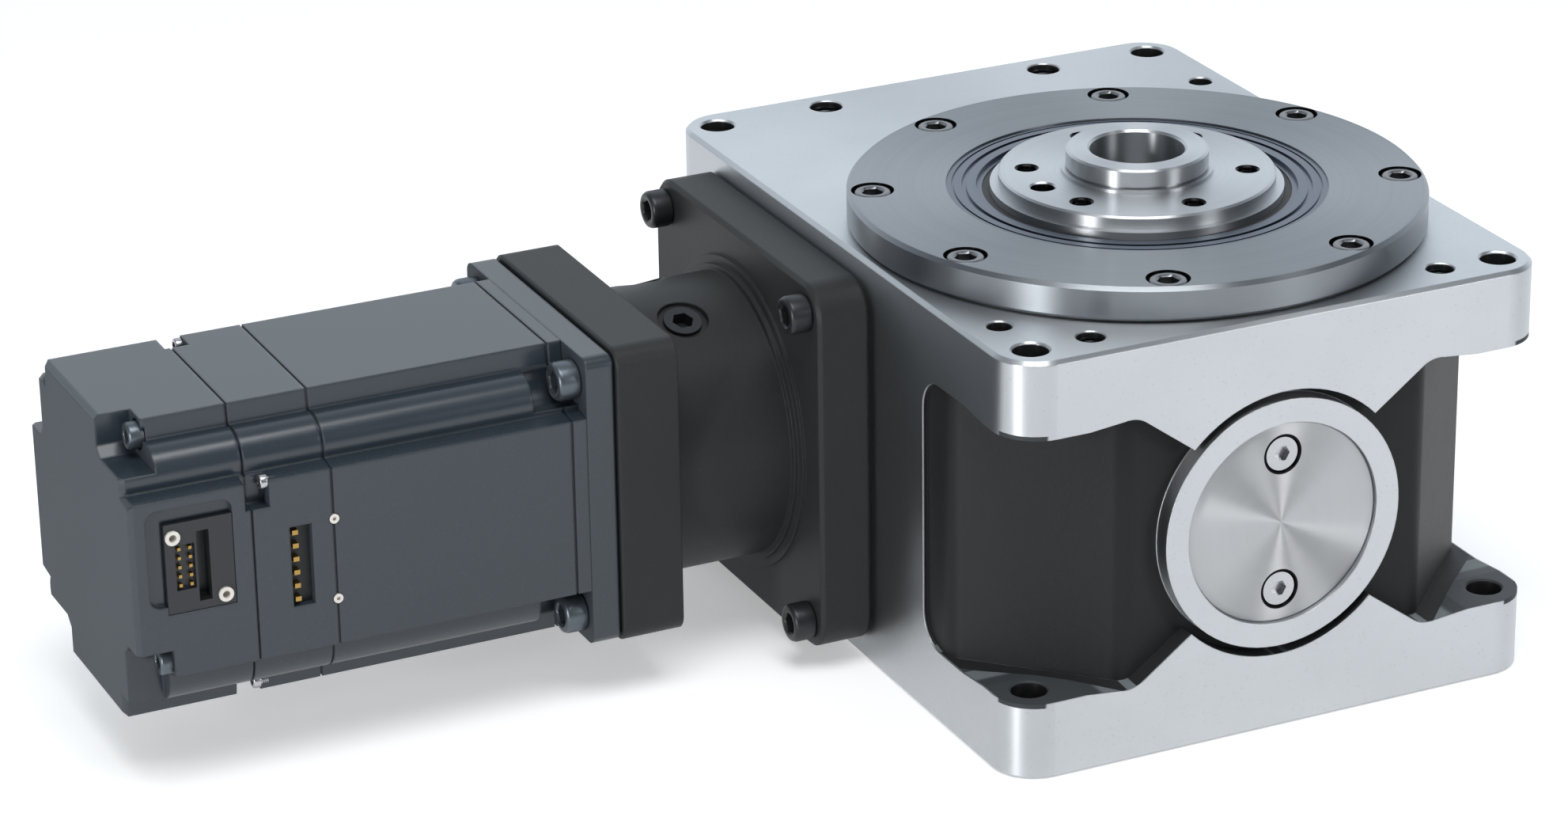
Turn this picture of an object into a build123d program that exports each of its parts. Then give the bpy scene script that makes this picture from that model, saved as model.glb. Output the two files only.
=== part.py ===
from build123d import *
import math
import os

# Right-angle roller gear reducer with a servo motor.
# Origin: on the output axis, in the plane that the base stands on. +Z is up,
# +X runs along the input axis away from the motor, the round port faces -Y.

os.makedirs("parts", exist_ok=True)

# Housing block
body_width = 150.0
body_front = 76.3
body_back = 122.3
body_height = 110.6
body_corner_r = 11.5
edge_break = 1.0
flange_thick = 19.2
pad_rise = 1.1
centre_distance = 51.2

# Front corner pockets and the wall that stands in them
wall_inset = 1.2
wall_corner_cut = 37.9
wall_round = 7.5
side_pocket_start = 27.4
front_recess = 5.0
pocket_round = 8.5
gusset_outer = 41.0
gusset_round = 7.0
gusset_inner = 25.5
pad_corner_cut = 30.4
pad_inset_x = 20.3
pad_inset_y = 16.3
pad_ramp = 11.0
rear_notch = 26.0
rear_notch_r = 9.0

# Fixing holes
corner_hole_r = 4.5
corner_hole_inset_x = 9.2
corner_hole_inset_y = 9.6
hole_mouth = 0.5
rear_tap_r = 4.25
rear_tap_x = 33.3
rear_tap_inset = 9.3
rear_tap_depth = 18.0
lift_tap_r = 3.4
lift_tap_inset_x = 25.8
lift_tap_inset = 10.1
lift_tap_depth = 14.0
dowel_r = 3.0
dowel_depth = 10.0
dowel_left_inset = (9.5, 26.3)
dowel_right_inset = (8.5, 38.4)

# Round port in the front face
port_ring_r = 33.1
port_groove_w = 2.4
port_plate_r = 26.7
port_plate_thick = 4.6
port_sink = 1.2
port_bore_r = 13.5
port_screw_r = 2.5
port_screw_head_r = 4.4
port_screw_mouth_r = 4.9
port_screw_sink = 0.4
port_mouth_depth = 0.6
port_screw_hex = 3.8
port_screw_pitch = 18.2
port_screw_length = 14.0
port_ring_seal_r = 1.3

# Bearing cover on the top face
cover_r = 73.9
cover_thick = 9.0
cover_gap = 0.5
cover_land_r = 66.0
cover_spigot = 4.0
cover_screw_circle = 67.35
cover_screw_count = 8
cover_screw_grip = 13.0
cover_bore_r = 48.6
fit_gap = 0.1

# Screw sizes: shank radius, head radius, head height, socket width
m6 = (3.0, 5.0, 6.0, 5.0)
m5 = (2.5, 4.25, 5.0, 4.0)
m4 = (2.0, 3.5, 4.0, 3.0)
m3 = (1.5, 2.75, 3.0, 2.5)
head_sink = 0.2
screw_clear = 0.3
tap_clear = 0.02

# Output bearing, crossed rollers
out_bearing_r = 62.0
out_bearing_bore_r = 40.0
out_bearing_height = 14.0
cross_roller_r = 3.5
cross_roller_length = 6.6
cross_roller_count = 20
race_gap = 1.0
race_clear = 0.04

# Output seal
seal_lip_r = 39.4
seal_neck_r = 37.4
seal_height = 6.4
seal_sink = 0.4
seal_grooves = ((47.2, 46.6, 0.4), (44.6, 43.4, 0.6), (40.9, 39.0, 0.9))
running_clear = 0.05

# Hub, turret and hollow sleeve
hub_r = 35.3
hub_rise = 13.15
hub_hole_circle = 28.0
hub_hole_count = 6
hub_hole_r = 2.5
hub_hole_depth = 12.0
hub_hole_phase = 31.5
hub_dowel_phase = 181.5
hub_dowel_circle = 27.5
hub_dowel_r = 3.0
turret_flange_r = 46.0
turret_flange_thick = 5.0
turret_flange_clear = 1.1
turret_drum_r = 26.0
turret_shoulder_r = 24.0
turret_shoulder_top = 36.0
sleeve_r = 15.0
sleeve_bore_r = 12.1
sleeve_ring_r = 18.2
sleeve_ring_rise = 19.15
sleeve_collar_r = 19.3
sleeve_collar_height = 0.85
sleeve_groove = 0.8
locknut_r = 45.0
locknut_height = 4.0

# Cam followers and the cam
follower_count = 12
follower_r = 5.0
follower_inner = 27.2
follower_outer = 36.6
stud_r = 2.4
stud_head_r = 3.8
stud_head = 0.8
stud_root = 17.5
follower_sweep_r = 38.6
mesh_clear = 0.22
rib_tip = 26.0
rib_root = 39.2
cam_arc_r = 38.4
cam_half_length = 21.0
cam_outer_r = 30.0
cam_shaft_r = 10.0
cam_collar_r = 13.0
cam_sweep = 46.0
cam_sections = 47

# Lower bearing and bottom cover
low_bearing_r = 34.0
low_bearing_bore_r = 20.0
low_bearing_width = 15.0
low_bearing_floor = 9.0
low_ball_count = 9
bottom_cover_r = 44.0
bottom_cover_thick = 6.0
bottom_screw_circle = 39.5
bottom_screw_count = 6
bottom_screw_length = 9.0
bottom_bore_r = 12.5
bottom_seal_r = 21.0
bottom_seal_height = 3.2

# Input bearings in their carriers
side_bore_r = 33.0
carrier_inner_end = 26.0
in_bearing_r = 23.5
in_bearing_width = 14.0
in_bearing_start = 28.0
in_ball_count = 8
in_seal_width = 7.0
in_seal_r = 17.5
carrier_screw_circle = 28.5
end_cover_r = 41.0
end_cover_thick = 6.0
end_cover_screw_circle = 37.0
end_cover_screw_count = 6
end_cover_screw_length = 11.0

# Turret chamber in the housing
chamber_r = 44.0
chamber_floor = 27.0
chamber_upper_r = 50.0

# Motor adapter
adapter_shim = 1.2
adapter_shim_inset = 1.5
plate_side = 100.0
plate_thick = 13.3
plate_corner_r = 9.0
plate_screw_inset = 7.5735931288
neck_r = 37.5
neck_length = 34.25
neck_wall = 8.5
neck_step = ((39.2, 2.2), (41.4, 0.9))
flange_side = 80.0
adapter_flange_thick = 16.5
adapter_flange_corner_r = 5.0
adapter_spigot = 3.5
plug_from_plate = 21.2
plug_angles = (22.5, -22.5)
plug_seat_r = 6.6
plug_r = 4.9
plug_length = 8.0

# Coupling between the shafts
coupling_r = 24.0
coupling_from_plate = 11.0
coupling_hub_length = 19.0
spider_width = 9.0
spider_clear = 0.1
jaw_count = 3
jaw_angle = 52.0
cam_shaft_end_r = 8.0

# Motor
motor_side = 78.0
motor_flange_thick = 8.0
motor_flange_corner_r = 3.0
motor_pilot_r = 35.0
motor_pilot = 3.0
motor_screw_circle = 90.0
motor_screw_grip = 11.0
motor_flat = 23.5
motor_body_length = 88.5
rear_cover_length = 31.0
rear_cover_wall = 3.0
stator_bore_r = 34.0
motor_shaft_r = 9.5
motor_shaft_reach = 34.0
notch_length = 12.0
stator_core_r = 33.8
stator_gap_r = 20.5
stator_core_length = 52.0
slot_count = 12
winding_reach = 7.5
magnet_r = 20.0
rotor_core_r = 16.5
motor_bearing_r = 21.0
motor_bearing_bore_r = 9.0
motor_bearing_width = 12.0
rear_bearing_r = 16.0
rear_bearing_bore_r = 7.5
rear_bearing_width = 9.0
rear_bracket_thick = 10.0
encoder_disc_r = 17.0
encoder_disc_thick = 1.5
encoder_disc_from_seam = 6.5
encoder_board_r = 31.9
encoder_board_thick = 1.6
encoder_board_from_seam = 13.0
seam_width = 0.6
seam_depth = 0.5
seam_front = 3.7
seam_rear = 20.5
seam_notch_z = (16.6, 28.0)
seam_notch_depth = 4.4
seam_notch_ends = (1.6, 4.7)
rear_screw_reach = 39.8
rear_screw_phase = 31.3
rear_screw_seat = 10.2
rear_screw_grip = 10.0
rear_notch_end = 9.2
rear_notch_wall = 16.2
rear_notch_low = 28.6

# Motor connectors on the side that faces the port side
tray_from_rear = (3.95, 26.0)
tray_z = (-4.6, 21.0)
tray_depth = 1.8
tray_round = 3.0
enc_block_from_rear = (8.5, 25.9)
enc_block_z = (-6.7, 17.0)
enc_block_sink = 0.2
enc_block_depth = 6.4
enc_slot_from_rear = (16.6, 19.8)
enc_slot_z = (-4.5, 14.0)
enc_slot_depth = 4.5
enc_pit_from_rear = (11.0, 16.0)
enc_pit_z = (-0.8, 11.2)
enc_pit_depth = 1.7
enc_pin_rows = 5
enc_screws = ((10.5, 13.5), (23.2, -3.9))
enc_screw_r = 1.9
power_from_seam = (9.35, 15.05)
power_socket_z = (-11.2, 10.2)
power_pin_count = 6
power_depth = 3.6
power_screw_from_seam = 20.95

# Derived places
mid_height = body_height / 2
face_x = body_width / 2
cover_base = body_height + cover_gap
cover_top = cover_base + cover_thick
bearing_top = cover_base - cover_spigot
bearing_floor = bearing_top - out_bearing_height
chamber_upper_floor = bearing_floor - turret_flange_thick - turret_flange_clear
corner_hole_x = face_x - corner_hole_inset_x
corner_hole_front = body_front - corner_hole_inset_y
corner_hole_back = body_back - corner_hole_inset_y
rear_tap_y = body_back - rear_tap_inset
lift_tap_x = face_x - lift_tap_inset_x
lift_tap_y = body_front - lift_tap_inset
dowel_left = (-face_x + dowel_left_inset[0], -body_front + dowel_left_inset[1])
dowel_right = (face_x - dowel_right_inset[0], body_back - dowel_right_inset[1])
pad_end_x = face_x - pad_inset_x
pad_end_y = body_front - pad_inset_y
hub_top = body_height + hub_rise
sleeve_top = body_height + sleeve_ring_rise
plate_x0 = -face_x - adapter_shim
plate_x1 = plate_x0 - plate_thick
adapter_shim_side = plate_side - 2 * adapter_shim_inset
plate_screw_circle = math.sqrt(2) * (plate_side - 2 * plate_screw_inset)
plate_screw_grip = face_x - out_bearing_r
plug_x = plate_x1 - plug_from_plate
coupling_mid = plate_x1 - coupling_from_plate
neck_x1 = plate_x1 - neck_length
adapter_x1 = neck_x1 - adapter_flange_thick
motor_flange_x1 = adapter_x1 - motor_flange_thick
motor_body_x1 = motor_flange_x1 - motor_body_length
motor_rear = motor_body_x1 - rear_cover_length
power_x0 = motor_body_x1 + power_from_seam[0]
power_x1 = motor_body_x1 + power_from_seam[1]
power_screw_x = motor_body_x1 + power_screw_from_seam


def cyl_z(r, z0, z1, x=0.0, y=0.0):
    """Upright cylinder between two heights."""
    return Pos(x, y, z0) * Cylinder(r, z1 - z0, align=(Align.CENTER, Align.CENTER, Align.MIN))


def tube_z(r_out, r_in, z0, z1):
    """Upright ring between two heights."""
    return cyl_z(r_out, z0, z1) - cyl_z(r_in, z0 - 1, z1 + 1)


def on_input(shape):
    """Turns a shape built about Z so that its Z axis lies on the input axis, along +X."""
    return Pos(0, centre_distance, mid_height) * Rot(0, 90, 0) * shape


def cyl_x(r, x0, x1, y=0.0, z=0.0):
    """Cylinder on or beside the input axis; x0 is less than x1."""
    return Pos(0, y, z) * on_input(cyl_z(r, x0, x1))


def tube_x(r_out, r_in, x0, x1):
    """Ring on the input axis."""
    return cyl_x(r_out, x0, x1) - cyl_x(r_in, x0 - 1, x1 + 1)


def slab_x(sketch, x0, x1):
    """Extrudes a YZ sketch, centred on the input axis, between two X places."""
    place = Plane(origin=(x0, centre_distance, mid_height), x_dir=(0, 1, 0), z_dir=(1, 0, 0))
    return extrude(place * sketch, amount=x1 - x0)


def slab_y(sketch, y0, y1):
    """Extrudes an XZ sketch, centred at mid height, between two Y places; y0 is less than y1."""
    place = Plane(origin=(0, y1, mid_height), x_dir=(1, 0, 0), z_dir=(0, -1, 0))
    return extrude(place * sketch, amount=y1 - y0)


def slab_z(sketch, z0, z1):
    """Extrudes an XY sketch between two heights."""
    return extrude(Pos(0, 0, z0) * sketch, amount=z1 - z0)


def around_z(shape, radius, count, phase=0.0):
    """Copies of a shape on a circle about the output axis."""
    return [Rot(0, 0, phase + i * 360 / count) * Pos(radius, 0, 0) * shape for i in range(count)]


def around_x(shape, radius, count, phase=0.0):
    """Copies of a Z-built shape on a circle about the input axis."""
    return [on_input(copy) for copy in around_z(shape, radius, count, phase)]


def cap_screw(size, length):
    """Socket head cap screw; the seat of its head is at z = 0 and the shank hangs down."""
    shank_r, head_r, head_h, socket = size
    head = cyl_z(head_r, 0, head_h)
    head = chamfer(head.edges().group_by(Axis.Z)[-1], 0.08 * head_h)
    screw = head + cyl_z(shank_r, -length, 0)
    return screw - slab_z(RegularPolygon(socket / 2, 6, major_radius=False), head_h * 0.45, head_h + 1)


def screw_room(size, length, cbore_depth):
    """Clearance hole and counterbore for a cap screw, seat at z = 0."""
    shank_r, head_r = size[0], size[1]
    room = cyl_z(shank_r + screw_clear, -length, 1)
    if cbore_depth > 0:
        room += cyl_z(head_r + 0.5, 0, cbore_depth + 1)
    return room


def ball_bearing(r_in, r_out, z0, z1, balls):
    """Deep groove bearing about Z: outer ring, inner ring and its balls."""
    pitch = (r_in + r_out) / 2
    ball_r = 0.29 * (r_out - r_in)
    mid = (z0 + z1) / 2
    race = Pos(0, 0, mid) * Torus(pitch, ball_r + race_clear)
    outer = tube_z(r_out, pitch + 0.5 * ball_r, z0, z1) - race
    inner = tube_z(pitch - 0.5 * ball_r, r_in, z0, z1) - race
    ball = Pos(0, 0, mid) * Sphere(ball_r)
    return outer, inner, around_z(ball, pitch, balls, 180 / balls)


def polygon(points):
    """Filled outline through the given corners."""
    return make_face(Polyline(*points, close=True))


def mirrored_x(shape):
    """The shape together with its mirror image across the YZ plane."""
    return [shape, mirror(shape, about=Plane.YZ)]


nodes = {}


def keep(name, shapes):
    """Files one piece, or one group of like pieces, under its node name."""
    if not isinstance(shapes, list):
        shapes = [shapes]
    nodes[name] = [solid for shape in shapes for solid in shape.solids()]


# Housing: a block with thick top and bottom flanges and cut-away corners

def body_outline():
    depth = body_front + body_back
    block = Pos(0, (body_back - body_front) / 2) * Rectangle(body_width, depth)
    return fillet(block.vertices(), body_corner_r)


def front_wall_outline():
    """Plan view of the wall between the flanges, in front of the pockets' back edges."""
    side_x = face_x - wall_inset
    front_y = -(body_front - front_recess)
    reach = face_x + body_front - wall_corner_cut
    corner_a = (side_x, -(reach - side_x))
    corner_b = (reach + front_y, front_y)
    wall = polygon([(-side_x, 0), (-corner_a[0], corner_a[1]), (-corner_b[0], front_y),
                    (corner_b[0], front_y), corner_a, (side_x, 0)])
    return fillet(wall.vertices().sort_by(Axis.Y)[0:4], wall_round)


def pocket_cut():
    """Black cast pockets in the two front corners, open to the front and the side."""
    low = -mid_height + flange_thick
    high = mid_height - flange_thick
    ring_r = port_ring_r + port_groove_w
    gusset_z = math.sqrt(ring_r ** 2 - gusset_inner ** 2)
    front = polygon([(-face_x - 1, low), (-gusset_outer, low), (-gusset_inner, -gusset_z), (0, 0),
                     (-gusset_inner, gusset_z), (-gusset_outer, high), (-face_x - 1, high)])
    bends = [corner for corner in front.vertices() if abs(corner.X + gusset_outer) < 0.01]
    front = fillet(bends, gusset_round)
    front = front + mirror(front, about=Plane.YZ) + Circle(ring_r)
    cut = slab_y(front, -body_front - 1, -side_pocket_start)
    side_high = Rectangle(body_front - side_pocket_start + pocket_round, high - low)
    side_high = fillet(side_high.vertices(), pocket_round)
    side_mid_y = -(body_front + side_pocket_start + pocket_round) / 2
    place = Plane(origin=(-face_x - 1, side_mid_y, mid_height), x_dir=(0, 1, 0), z_dir=(1, 0, 0))
    side = extrude(place * side_high, amount=body_width + 2)
    front_room = Pos(0, -body_front, mid_height) * Box(body_width + 4, 2 * pocket_round, high - low)
    cut = cut & (side + front_room)
    ring = slab_y(Circle(port_ring_r), -body_front - 2, 0)
    wall = slab_z(front_wall_outline(), 0, body_height)
    return cut - ring - wall


def corner_pad(top_down):
    """Raised pad round a front corner hole, with a ramp at each end, and its mirror image."""
    reach = face_x + body_front - pad_corner_cut
    z_low, z_high = flange_thick - 2, flange_thick + pad_rise
    across = polygon([(-face_x - 2, -2), (-pad_end_x + pad_ramp, -2), (-pad_end_x + pad_ramp, 0),
                      (-pad_end_x, pad_rise), (-face_x - 2, pad_rise)])
    place = Plane(origin=(0, 0, flange_thick), x_dir=(1, 0, 0), z_dir=(0, -1, 0))
    pad = extrude(place * across, amount=body_front + 1)
    along = polygon([(-body_front - 2, -2), (-pad_end_y + pad_ramp, -2), (-pad_end_y + pad_ramp, 0),
                     (-pad_end_y, pad_rise), (-body_front - 2, pad_rise)])
    place = Plane(origin=(-face_x - 2, 0, flange_thick), x_dir=(0, 1, 0), z_dir=(1, 0, 0))
    pad = pad & extrude(place * along, amount=body_width)
    beyond = polygon([(-reach, 0), (-reach - 40, 0), (-reach - 40, -reach - 40), (0, -reach - 40), (0, -reach)])
    pad = pad & slab_z(beyond, z_low, z_high)
    pad = pad & slab_z(body_outline(), 0, body_height)
    if top_down:
        pad = mirror(pad, about=Plane(origin=(0, 0, mid_height), z_dir=(0, 0, 1)))
    return mirrored_x(pad)


def rear_notch_cut():
    """Bolt room between the flanges at the two back corners."""
    size = rear_notch + 10
    notch = Pos(-face_x - 10 + size / 2, body_back + 10 - size / 2) * Rectangle(size, size)
    notch = fillet(notch.vertices(), rear_notch_r)
    return mirrored_x(slab_z(notch, flange_thick + pad_rise, body_height - flange_thick - pad_rise))


def through_hole(r, z0, z1, x, y):
    """Hole with a small countersink at both mouths."""
    mouth = Cone(r, r + hole_mouth + 0.01, hole_mouth, align=(Align.CENTER, Align.CENTER, Align.MIN))
    hole = cyl_z(r, z0 - 1, z1 + 1, x, y)
    hole += Pos(x, y, z1 - hole_mouth) * mouth
    return hole + Pos(x, y, z0 + hole_mouth) * Rot(180, 0, 0) * mouth


def blind_hole(r, depth, top, x, y):
    """Blind hole from a top face, with a small countersink at its mouth."""
    mouth = Cone(r, r + hole_mouth + 0.01, hole_mouth, align=(Align.CENTER, Align.CENTER, Align.MIN))
    return cyl_z(r, top - depth, top + 1, x, y) + Pos(x, y, top - hole_mouth) * mouth


def make_housing():
    body = slab_z(body_outline(), 0, body_height)
    body = chamfer(body.edges().group_by(Axis.Z)[-1], edge_break)
    body = chamfer(body.edges().group_by(Axis.Z)[0], edge_break / 2)
    body -= pocket_cut()
    for top_down in (False, True):
        for pad in corner_pad(top_down):
            body += pad
    for notch in rear_notch_cut():
        body -= notch
    body += tube_z(cover_land_r, out_bearing_r - 1, body_height - 1, cover_base)
    body -= cyl_z(out_bearing_r + fit_gap / 2, bearing_floor, cover_base + 1)
    body -= cyl_z(chamber_upper_r, chamber_upper_floor, bearing_floor + 1)
    body -= cyl_z(chamber_r, chamber_floor, chamber_upper_floor + 1)
    body -= cyl_x(side_bore_r + fit_gap / 2, -face_x - 1, face_x + 1)
    low_top = low_bearing_floor + low_bearing_width
    body -= cyl_z(low_bearing_r + fit_gap / 2, bottom_cover_thick - 1, low_top)
    body -= cyl_z(low_bearing_r - 4, low_top - 1, chamber_floor + 1)
    body -= cyl_z(bottom_cover_r + fit_gap, -1, bottom_cover_thick)
    for y in (-corner_hole_front, corner_hole_back):
        for x in (-corner_hole_x, corner_hole_x):
            body -= through_hole(corner_hole_r, body_height - flange_thick - pad_rise, body_height, x, y)
            body -= through_hole(corner_hole_r, 0, flange_thick + pad_rise, x, y)
    for x in (-1, 1):
        body -= blind_hole(rear_tap_r, rear_tap_depth, body_height, x * rear_tap_x, rear_tap_y)
        body -= blind_hole(lift_tap_r, lift_tap_depth, body_height, x * lift_tap_x, -lift_tap_y)
    for x, y in (dowel_left, dowel_right):
        body -= blind_hole(dowel_r, dowel_depth, body_height, x, y)
    tap = cyl_z(m6[0] + tap_clear, cover_base - 15, cover_base + 1)
    for hole in around_z(tap, cover_screw_circle, cover_screw_count, 180 / cover_screw_count):
        body -= hole
    tap = cyl_z(m4[0] + tap_clear, 0, bottom_cover_thick + 9)
    for hole in around_z(tap, bottom_screw_circle, bottom_screw_count, 0):
        body -= hole
    port_floor = -body_front + port_sink + port_plate_thick
    body -= slab_y(Circle(port_plate_r + fit_gap), -body_front - 1, port_floor)
    body -= slab_y(Circle(port_bore_r), port_floor - 1, -chamber_r + 5)
    for z in (-port_screw_pitch, port_screw_pitch):
        tap = Pos(0, z) * Circle(port_screw_r + tap_clear)
        body -= slab_y(tap, port_floor - 1, port_floor + port_screw_length)
    for x0, x1 in ((-face_x - 1, -face_x + 15),):
        for hole in around_x(cyl_z(m6[0] + tap_clear, x0, x1), plate_screw_circle / 2, 4, 45):
            body -= hole
    tap = cyl_z(m4[0] + tap_clear, face_x - 12, face_x + 1)
    for hole in around_x(tap, end_cover_screw_circle, end_cover_screw_count, 30):
        body -= hole
    return body


keep("housing", make_housing())


# Port cover: a turned plate with two countersunk screws and a sealing ring

def make_port():
    front = -body_front + port_sink
    back = front + port_plate_thick
    plate = slab_y(Circle(port_plate_r), front, back)
    plate = chamfer(plate.edges().group_by(Axis.Y)[0], 0.4)
    boss = slab_y(Circle(port_bore_r - fit_gap), back, back + 6)
    plate = plate + boss
    ring_y = back + 3
    ring_path = port_bore_r - port_ring_seal_r - 0.2
    turn = Pos(0, ring_y, mid_height) * Rot(90, 0, 0)
    plate -= turn * tube_z(port_bore_r + 1, ring_path - port_ring_seal_r, -1.6, 1.6)
    screws = []
    head_h = port_screw_head_r - port_screw_r
    for z in (-port_screw_pitch, port_screw_pitch):
        place = Pos(0, front + port_screw_sink, mid_height + z) * Rot(90, 0, 0)
        cone = place * Pos(0, 0, -head_h) * Cone(port_screw_r, port_screw_head_r, head_h,
                                               align=(Align.CENTER, Align.CENTER, Align.MIN))
        mouth = place * cyl_z(port_screw_mouth_r, -port_mouth_depth, 1)
        shank = place * cyl_z(port_screw_r, -port_screw_length, -head_h)
        plate -= place * cyl_z(port_screw_r + screw_clear, -10, 0)
        plate -= place * Pos(0, 0, -head_h - tap_clear) * Cone(
            port_screw_r + tap_clear, port_screw_head_r + 2 * tap_clear, head_h,
            align=(Align.CENTER, Align.CENTER, Align.MIN))
        plate -= mouth
        socket = place * slab_z(RegularPolygon(port_screw_hex / 2, 6, major_radius=False), -1.8, 1)
        screws.append(cone + shank - socket)
    seal = turn * Torus(ring_path, port_ring_seal_r)
    return plate, screws, seal


port_plate, port_screws, port_seal = make_port()
keep("port_cover", port_plate)
keep("port_cover_screws", port_screws)
keep("port_seal_ring", port_seal)


# Bearing cover: the large turned disc on the top face, held by eight counterbored screws

def make_cover():
    disc = cyl_z(cover_r, cover_base, cover_top)
    disc = chamfer(disc.edges(), edge_break)
    disc += tube_z(out_bearing_r, cover_bore_r, bearing_top, cover_base + 1)
    disc -= cyl_z(cover_bore_r, bearing_top - 1, cover_top + 1)
    seat = cover_top - m6[2] - head_sink
    room = Pos(0, 0, seat) * screw_room(m6, cover_thick, m6[2] + 1)
    for hole in around_z(room, cover_screw_circle, cover_screw_count, 180 / cover_screw_count):
        disc -= hole
    screw = Pos(0, 0, seat) * cap_screw(m6, seat - cover_base + cover_screw_grip)
    screws = around_z(screw, cover_screw_circle, cover_screw_count, 180 / cover_screw_count)
    return disc, screws


cover_disc, cover_screws = make_cover()
keep("bearing_cover", cover_disc)
keep("cover_screws", cover_screws)


# Output seal: a stepped metal ring pressed in the cover, with a rubber lip on the hub neck

def make_seal():
    top = cover_top - seal_sink
    base = top - seal_height
    ring = tube_z(cover_bore_r - running_clear / 2, seal_lip_r, base, top)
    for r_out, r_in, depth in seal_grooves:
        ring -= tube_z(r_out, r_in, top - depth, top + 1)
    lip = tube_z(seal_lip_r, seal_neck_r + running_clear, base + 0.6, top - 1.2)
    return ring, lip


seal_ring, seal_lip = make_seal()
keep("output_seal_ring", seal_ring)
keep("output_seal_lip", seal_lip)


# Output bearing: crossed rollers between an outer ring in the housing and an inner ring on the turret

def make_cross_bearing():
    pitch = (out_bearing_r + out_bearing_bore_r) / 2
    mid = (bearing_top + bearing_floor) / 2
    side = 2 * (cross_roller_r + race_clear)
    section = Pos(pitch, 0, mid) * Rot(90, 0, 0) * Rot(0, 0, 45) * Rectangle(side, side)
    race = revolve(section, Axis.Z)
    outer = tube_z(out_bearing_r, pitch + race_gap / 2, bearing_floor, bearing_top) - race
    inner = tube_z(pitch - race_gap / 2, out_bearing_bore_r, bearing_floor, bearing_top) - race
    rollers = []
    for i in range(cross_roller_count):
        tilt = 45 if i % 2 else -45
        roller = Rot(0, tilt, 0) * Cylinder(cross_roller_r, cross_roller_length)
        rollers.append(Rot(0, 0, i * 360 / cross_roller_count) * Pos(pitch, 0, mid) * roller)
    return outer, inner, rollers


cross_outer, cross_inner, cross_rollers = make_cross_bearing()
keep("output_bearing_outer", cross_outer)
keep("output_bearing_inner", cross_inner)
keep("output_bearing_rollers", cross_rollers)


# Turret: the output shaft, with the hub face on top and the followers round its drum

def make_turret():
    low = low_bearing_floor - 2
    low_top = low_bearing_floor + low_bearing_width
    hub_base = cover_top + 0.3
    shape = cyl_z(low_bearing_bore_r, low, low_top)
    shape += cyl_z(turret_shoulder_r, low_top, turret_shoulder_top)
    shape += cyl_z(turret_drum_r, turret_shoulder_top, bearing_floor - turret_flange_thick)
    shape += cyl_z(turret_flange_r, bearing_floor - turret_flange_thick, bearing_floor)
    shape += cyl_z(out_bearing_bore_r, bearing_floor, bearing_top)
    shape += cyl_z(seal_neck_r, bearing_top, hub_base)
    shape += cyl_z(hub_r, hub_base, hub_top)
    shape = chamfer(shape.edges().group_by(Axis.Z)[-1], 0.5)
    boss_top = hub_top + sleeve_collar_height
    shape += cyl_z(sleeve_collar_r, hub_top - 1, boss_top)
    shape -= cyl_z(sleeve_r + running_clear, low - 1, boss_top + 1)
    hole = blind_hole(hub_hole_r, hub_hole_depth, hub_top, 0, 0)
    for cut in around_z(hole, hub_hole_circle, hub_hole_count, hub_hole_phase):
        shape -= cut
    dowel = blind_hole(hub_dowel_r, hub_hole_depth, hub_top, 0, 0)
    for cut in around_z(dowel, hub_dowel_circle, 1, hub_dowel_phase):
        shape -= cut
    groove_z = low_bearing_floor - 1.6
    shape -= tube_z(low_bearing_bore_r + 1, low_bearing_bore_r - 1.4, groove_z, low_bearing_floor)
    stud_hole = Pos(0, 0, mid_height) * Rot(0, 90, 0) * cyl_z(stud_r, stud_root, turret_drum_r + 1)
    step = 360 / follower_count
    for cut in around_z(stud_hole, 0, follower_count, 90 + step / 2):
        shape -= cut
    return shape


keep("turret", make_turret())
keep("bearing_locknut", tube_z(locknut_r, seal_neck_r + fit_gap / 2, bearing_top, bearing_top + locknut_height))
keep("lower_retaining_ring", tube_z(low_bearing_bore_r + 2.2, low_bearing_bore_r - 1.3,
                                    low_bearing_floor - 1.5, low_bearing_floor))


# Hollow sleeve through the turret, with the pilot ring that stands on the hub

def make_sleeve():
    collar_top = hub_top + sleeve_collar_height
    sleeve = cyl_z(sleeve_r, bottom_cover_thick - bottom_seal_height + 0.4, collar_top + 0.5)
    sleeve += cyl_z(sleeve_ring_r - sleeve_groove, collar_top, collar_top + 1)
    sleeve += cyl_z(sleeve_ring_r, collar_top + 0.7, sleeve_top)
    sleeve = chamfer(sleeve.edges().group_by(Axis.Z)[-1], 0.5)
    sleeve -= cyl_z(sleeve_bore_r, 0, sleeve_top + 1)
    return chamfer(sleeve.edges().group_by(Axis.Z)[-1].sort_by(SortBy.RADIUS)[0], 0.6)


keep("centre_sleeve", make_sleeve())


# Cam followers: a stud pressed in the drum and a roller that turns on it

def make_followers():
    step = 360 / follower_count
    stud = cyl_z(stud_r, stud_root, follower_outer + 0.2)
    stud += cyl_z(stud_head_r, follower_outer + 0.2, follower_outer + 0.2 + stud_head)
    roller = tube_z(follower_r, stud_r + running_clear, follower_inner, follower_outer)
    lay = Pos(0, 0, mid_height) * Rot(0, 90, 0)
    studs = around_z(lay * stud, 0, follower_count, 90 + step / 2)
    rollers = around_z(lay * roller, 0, follower_count, 90 + step / 2)
    return studs, rollers


follower_studs, follower_rollers = make_followers()
keep("follower_studs", follower_studs)
keep("follower_rollers", follower_rollers)


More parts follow.
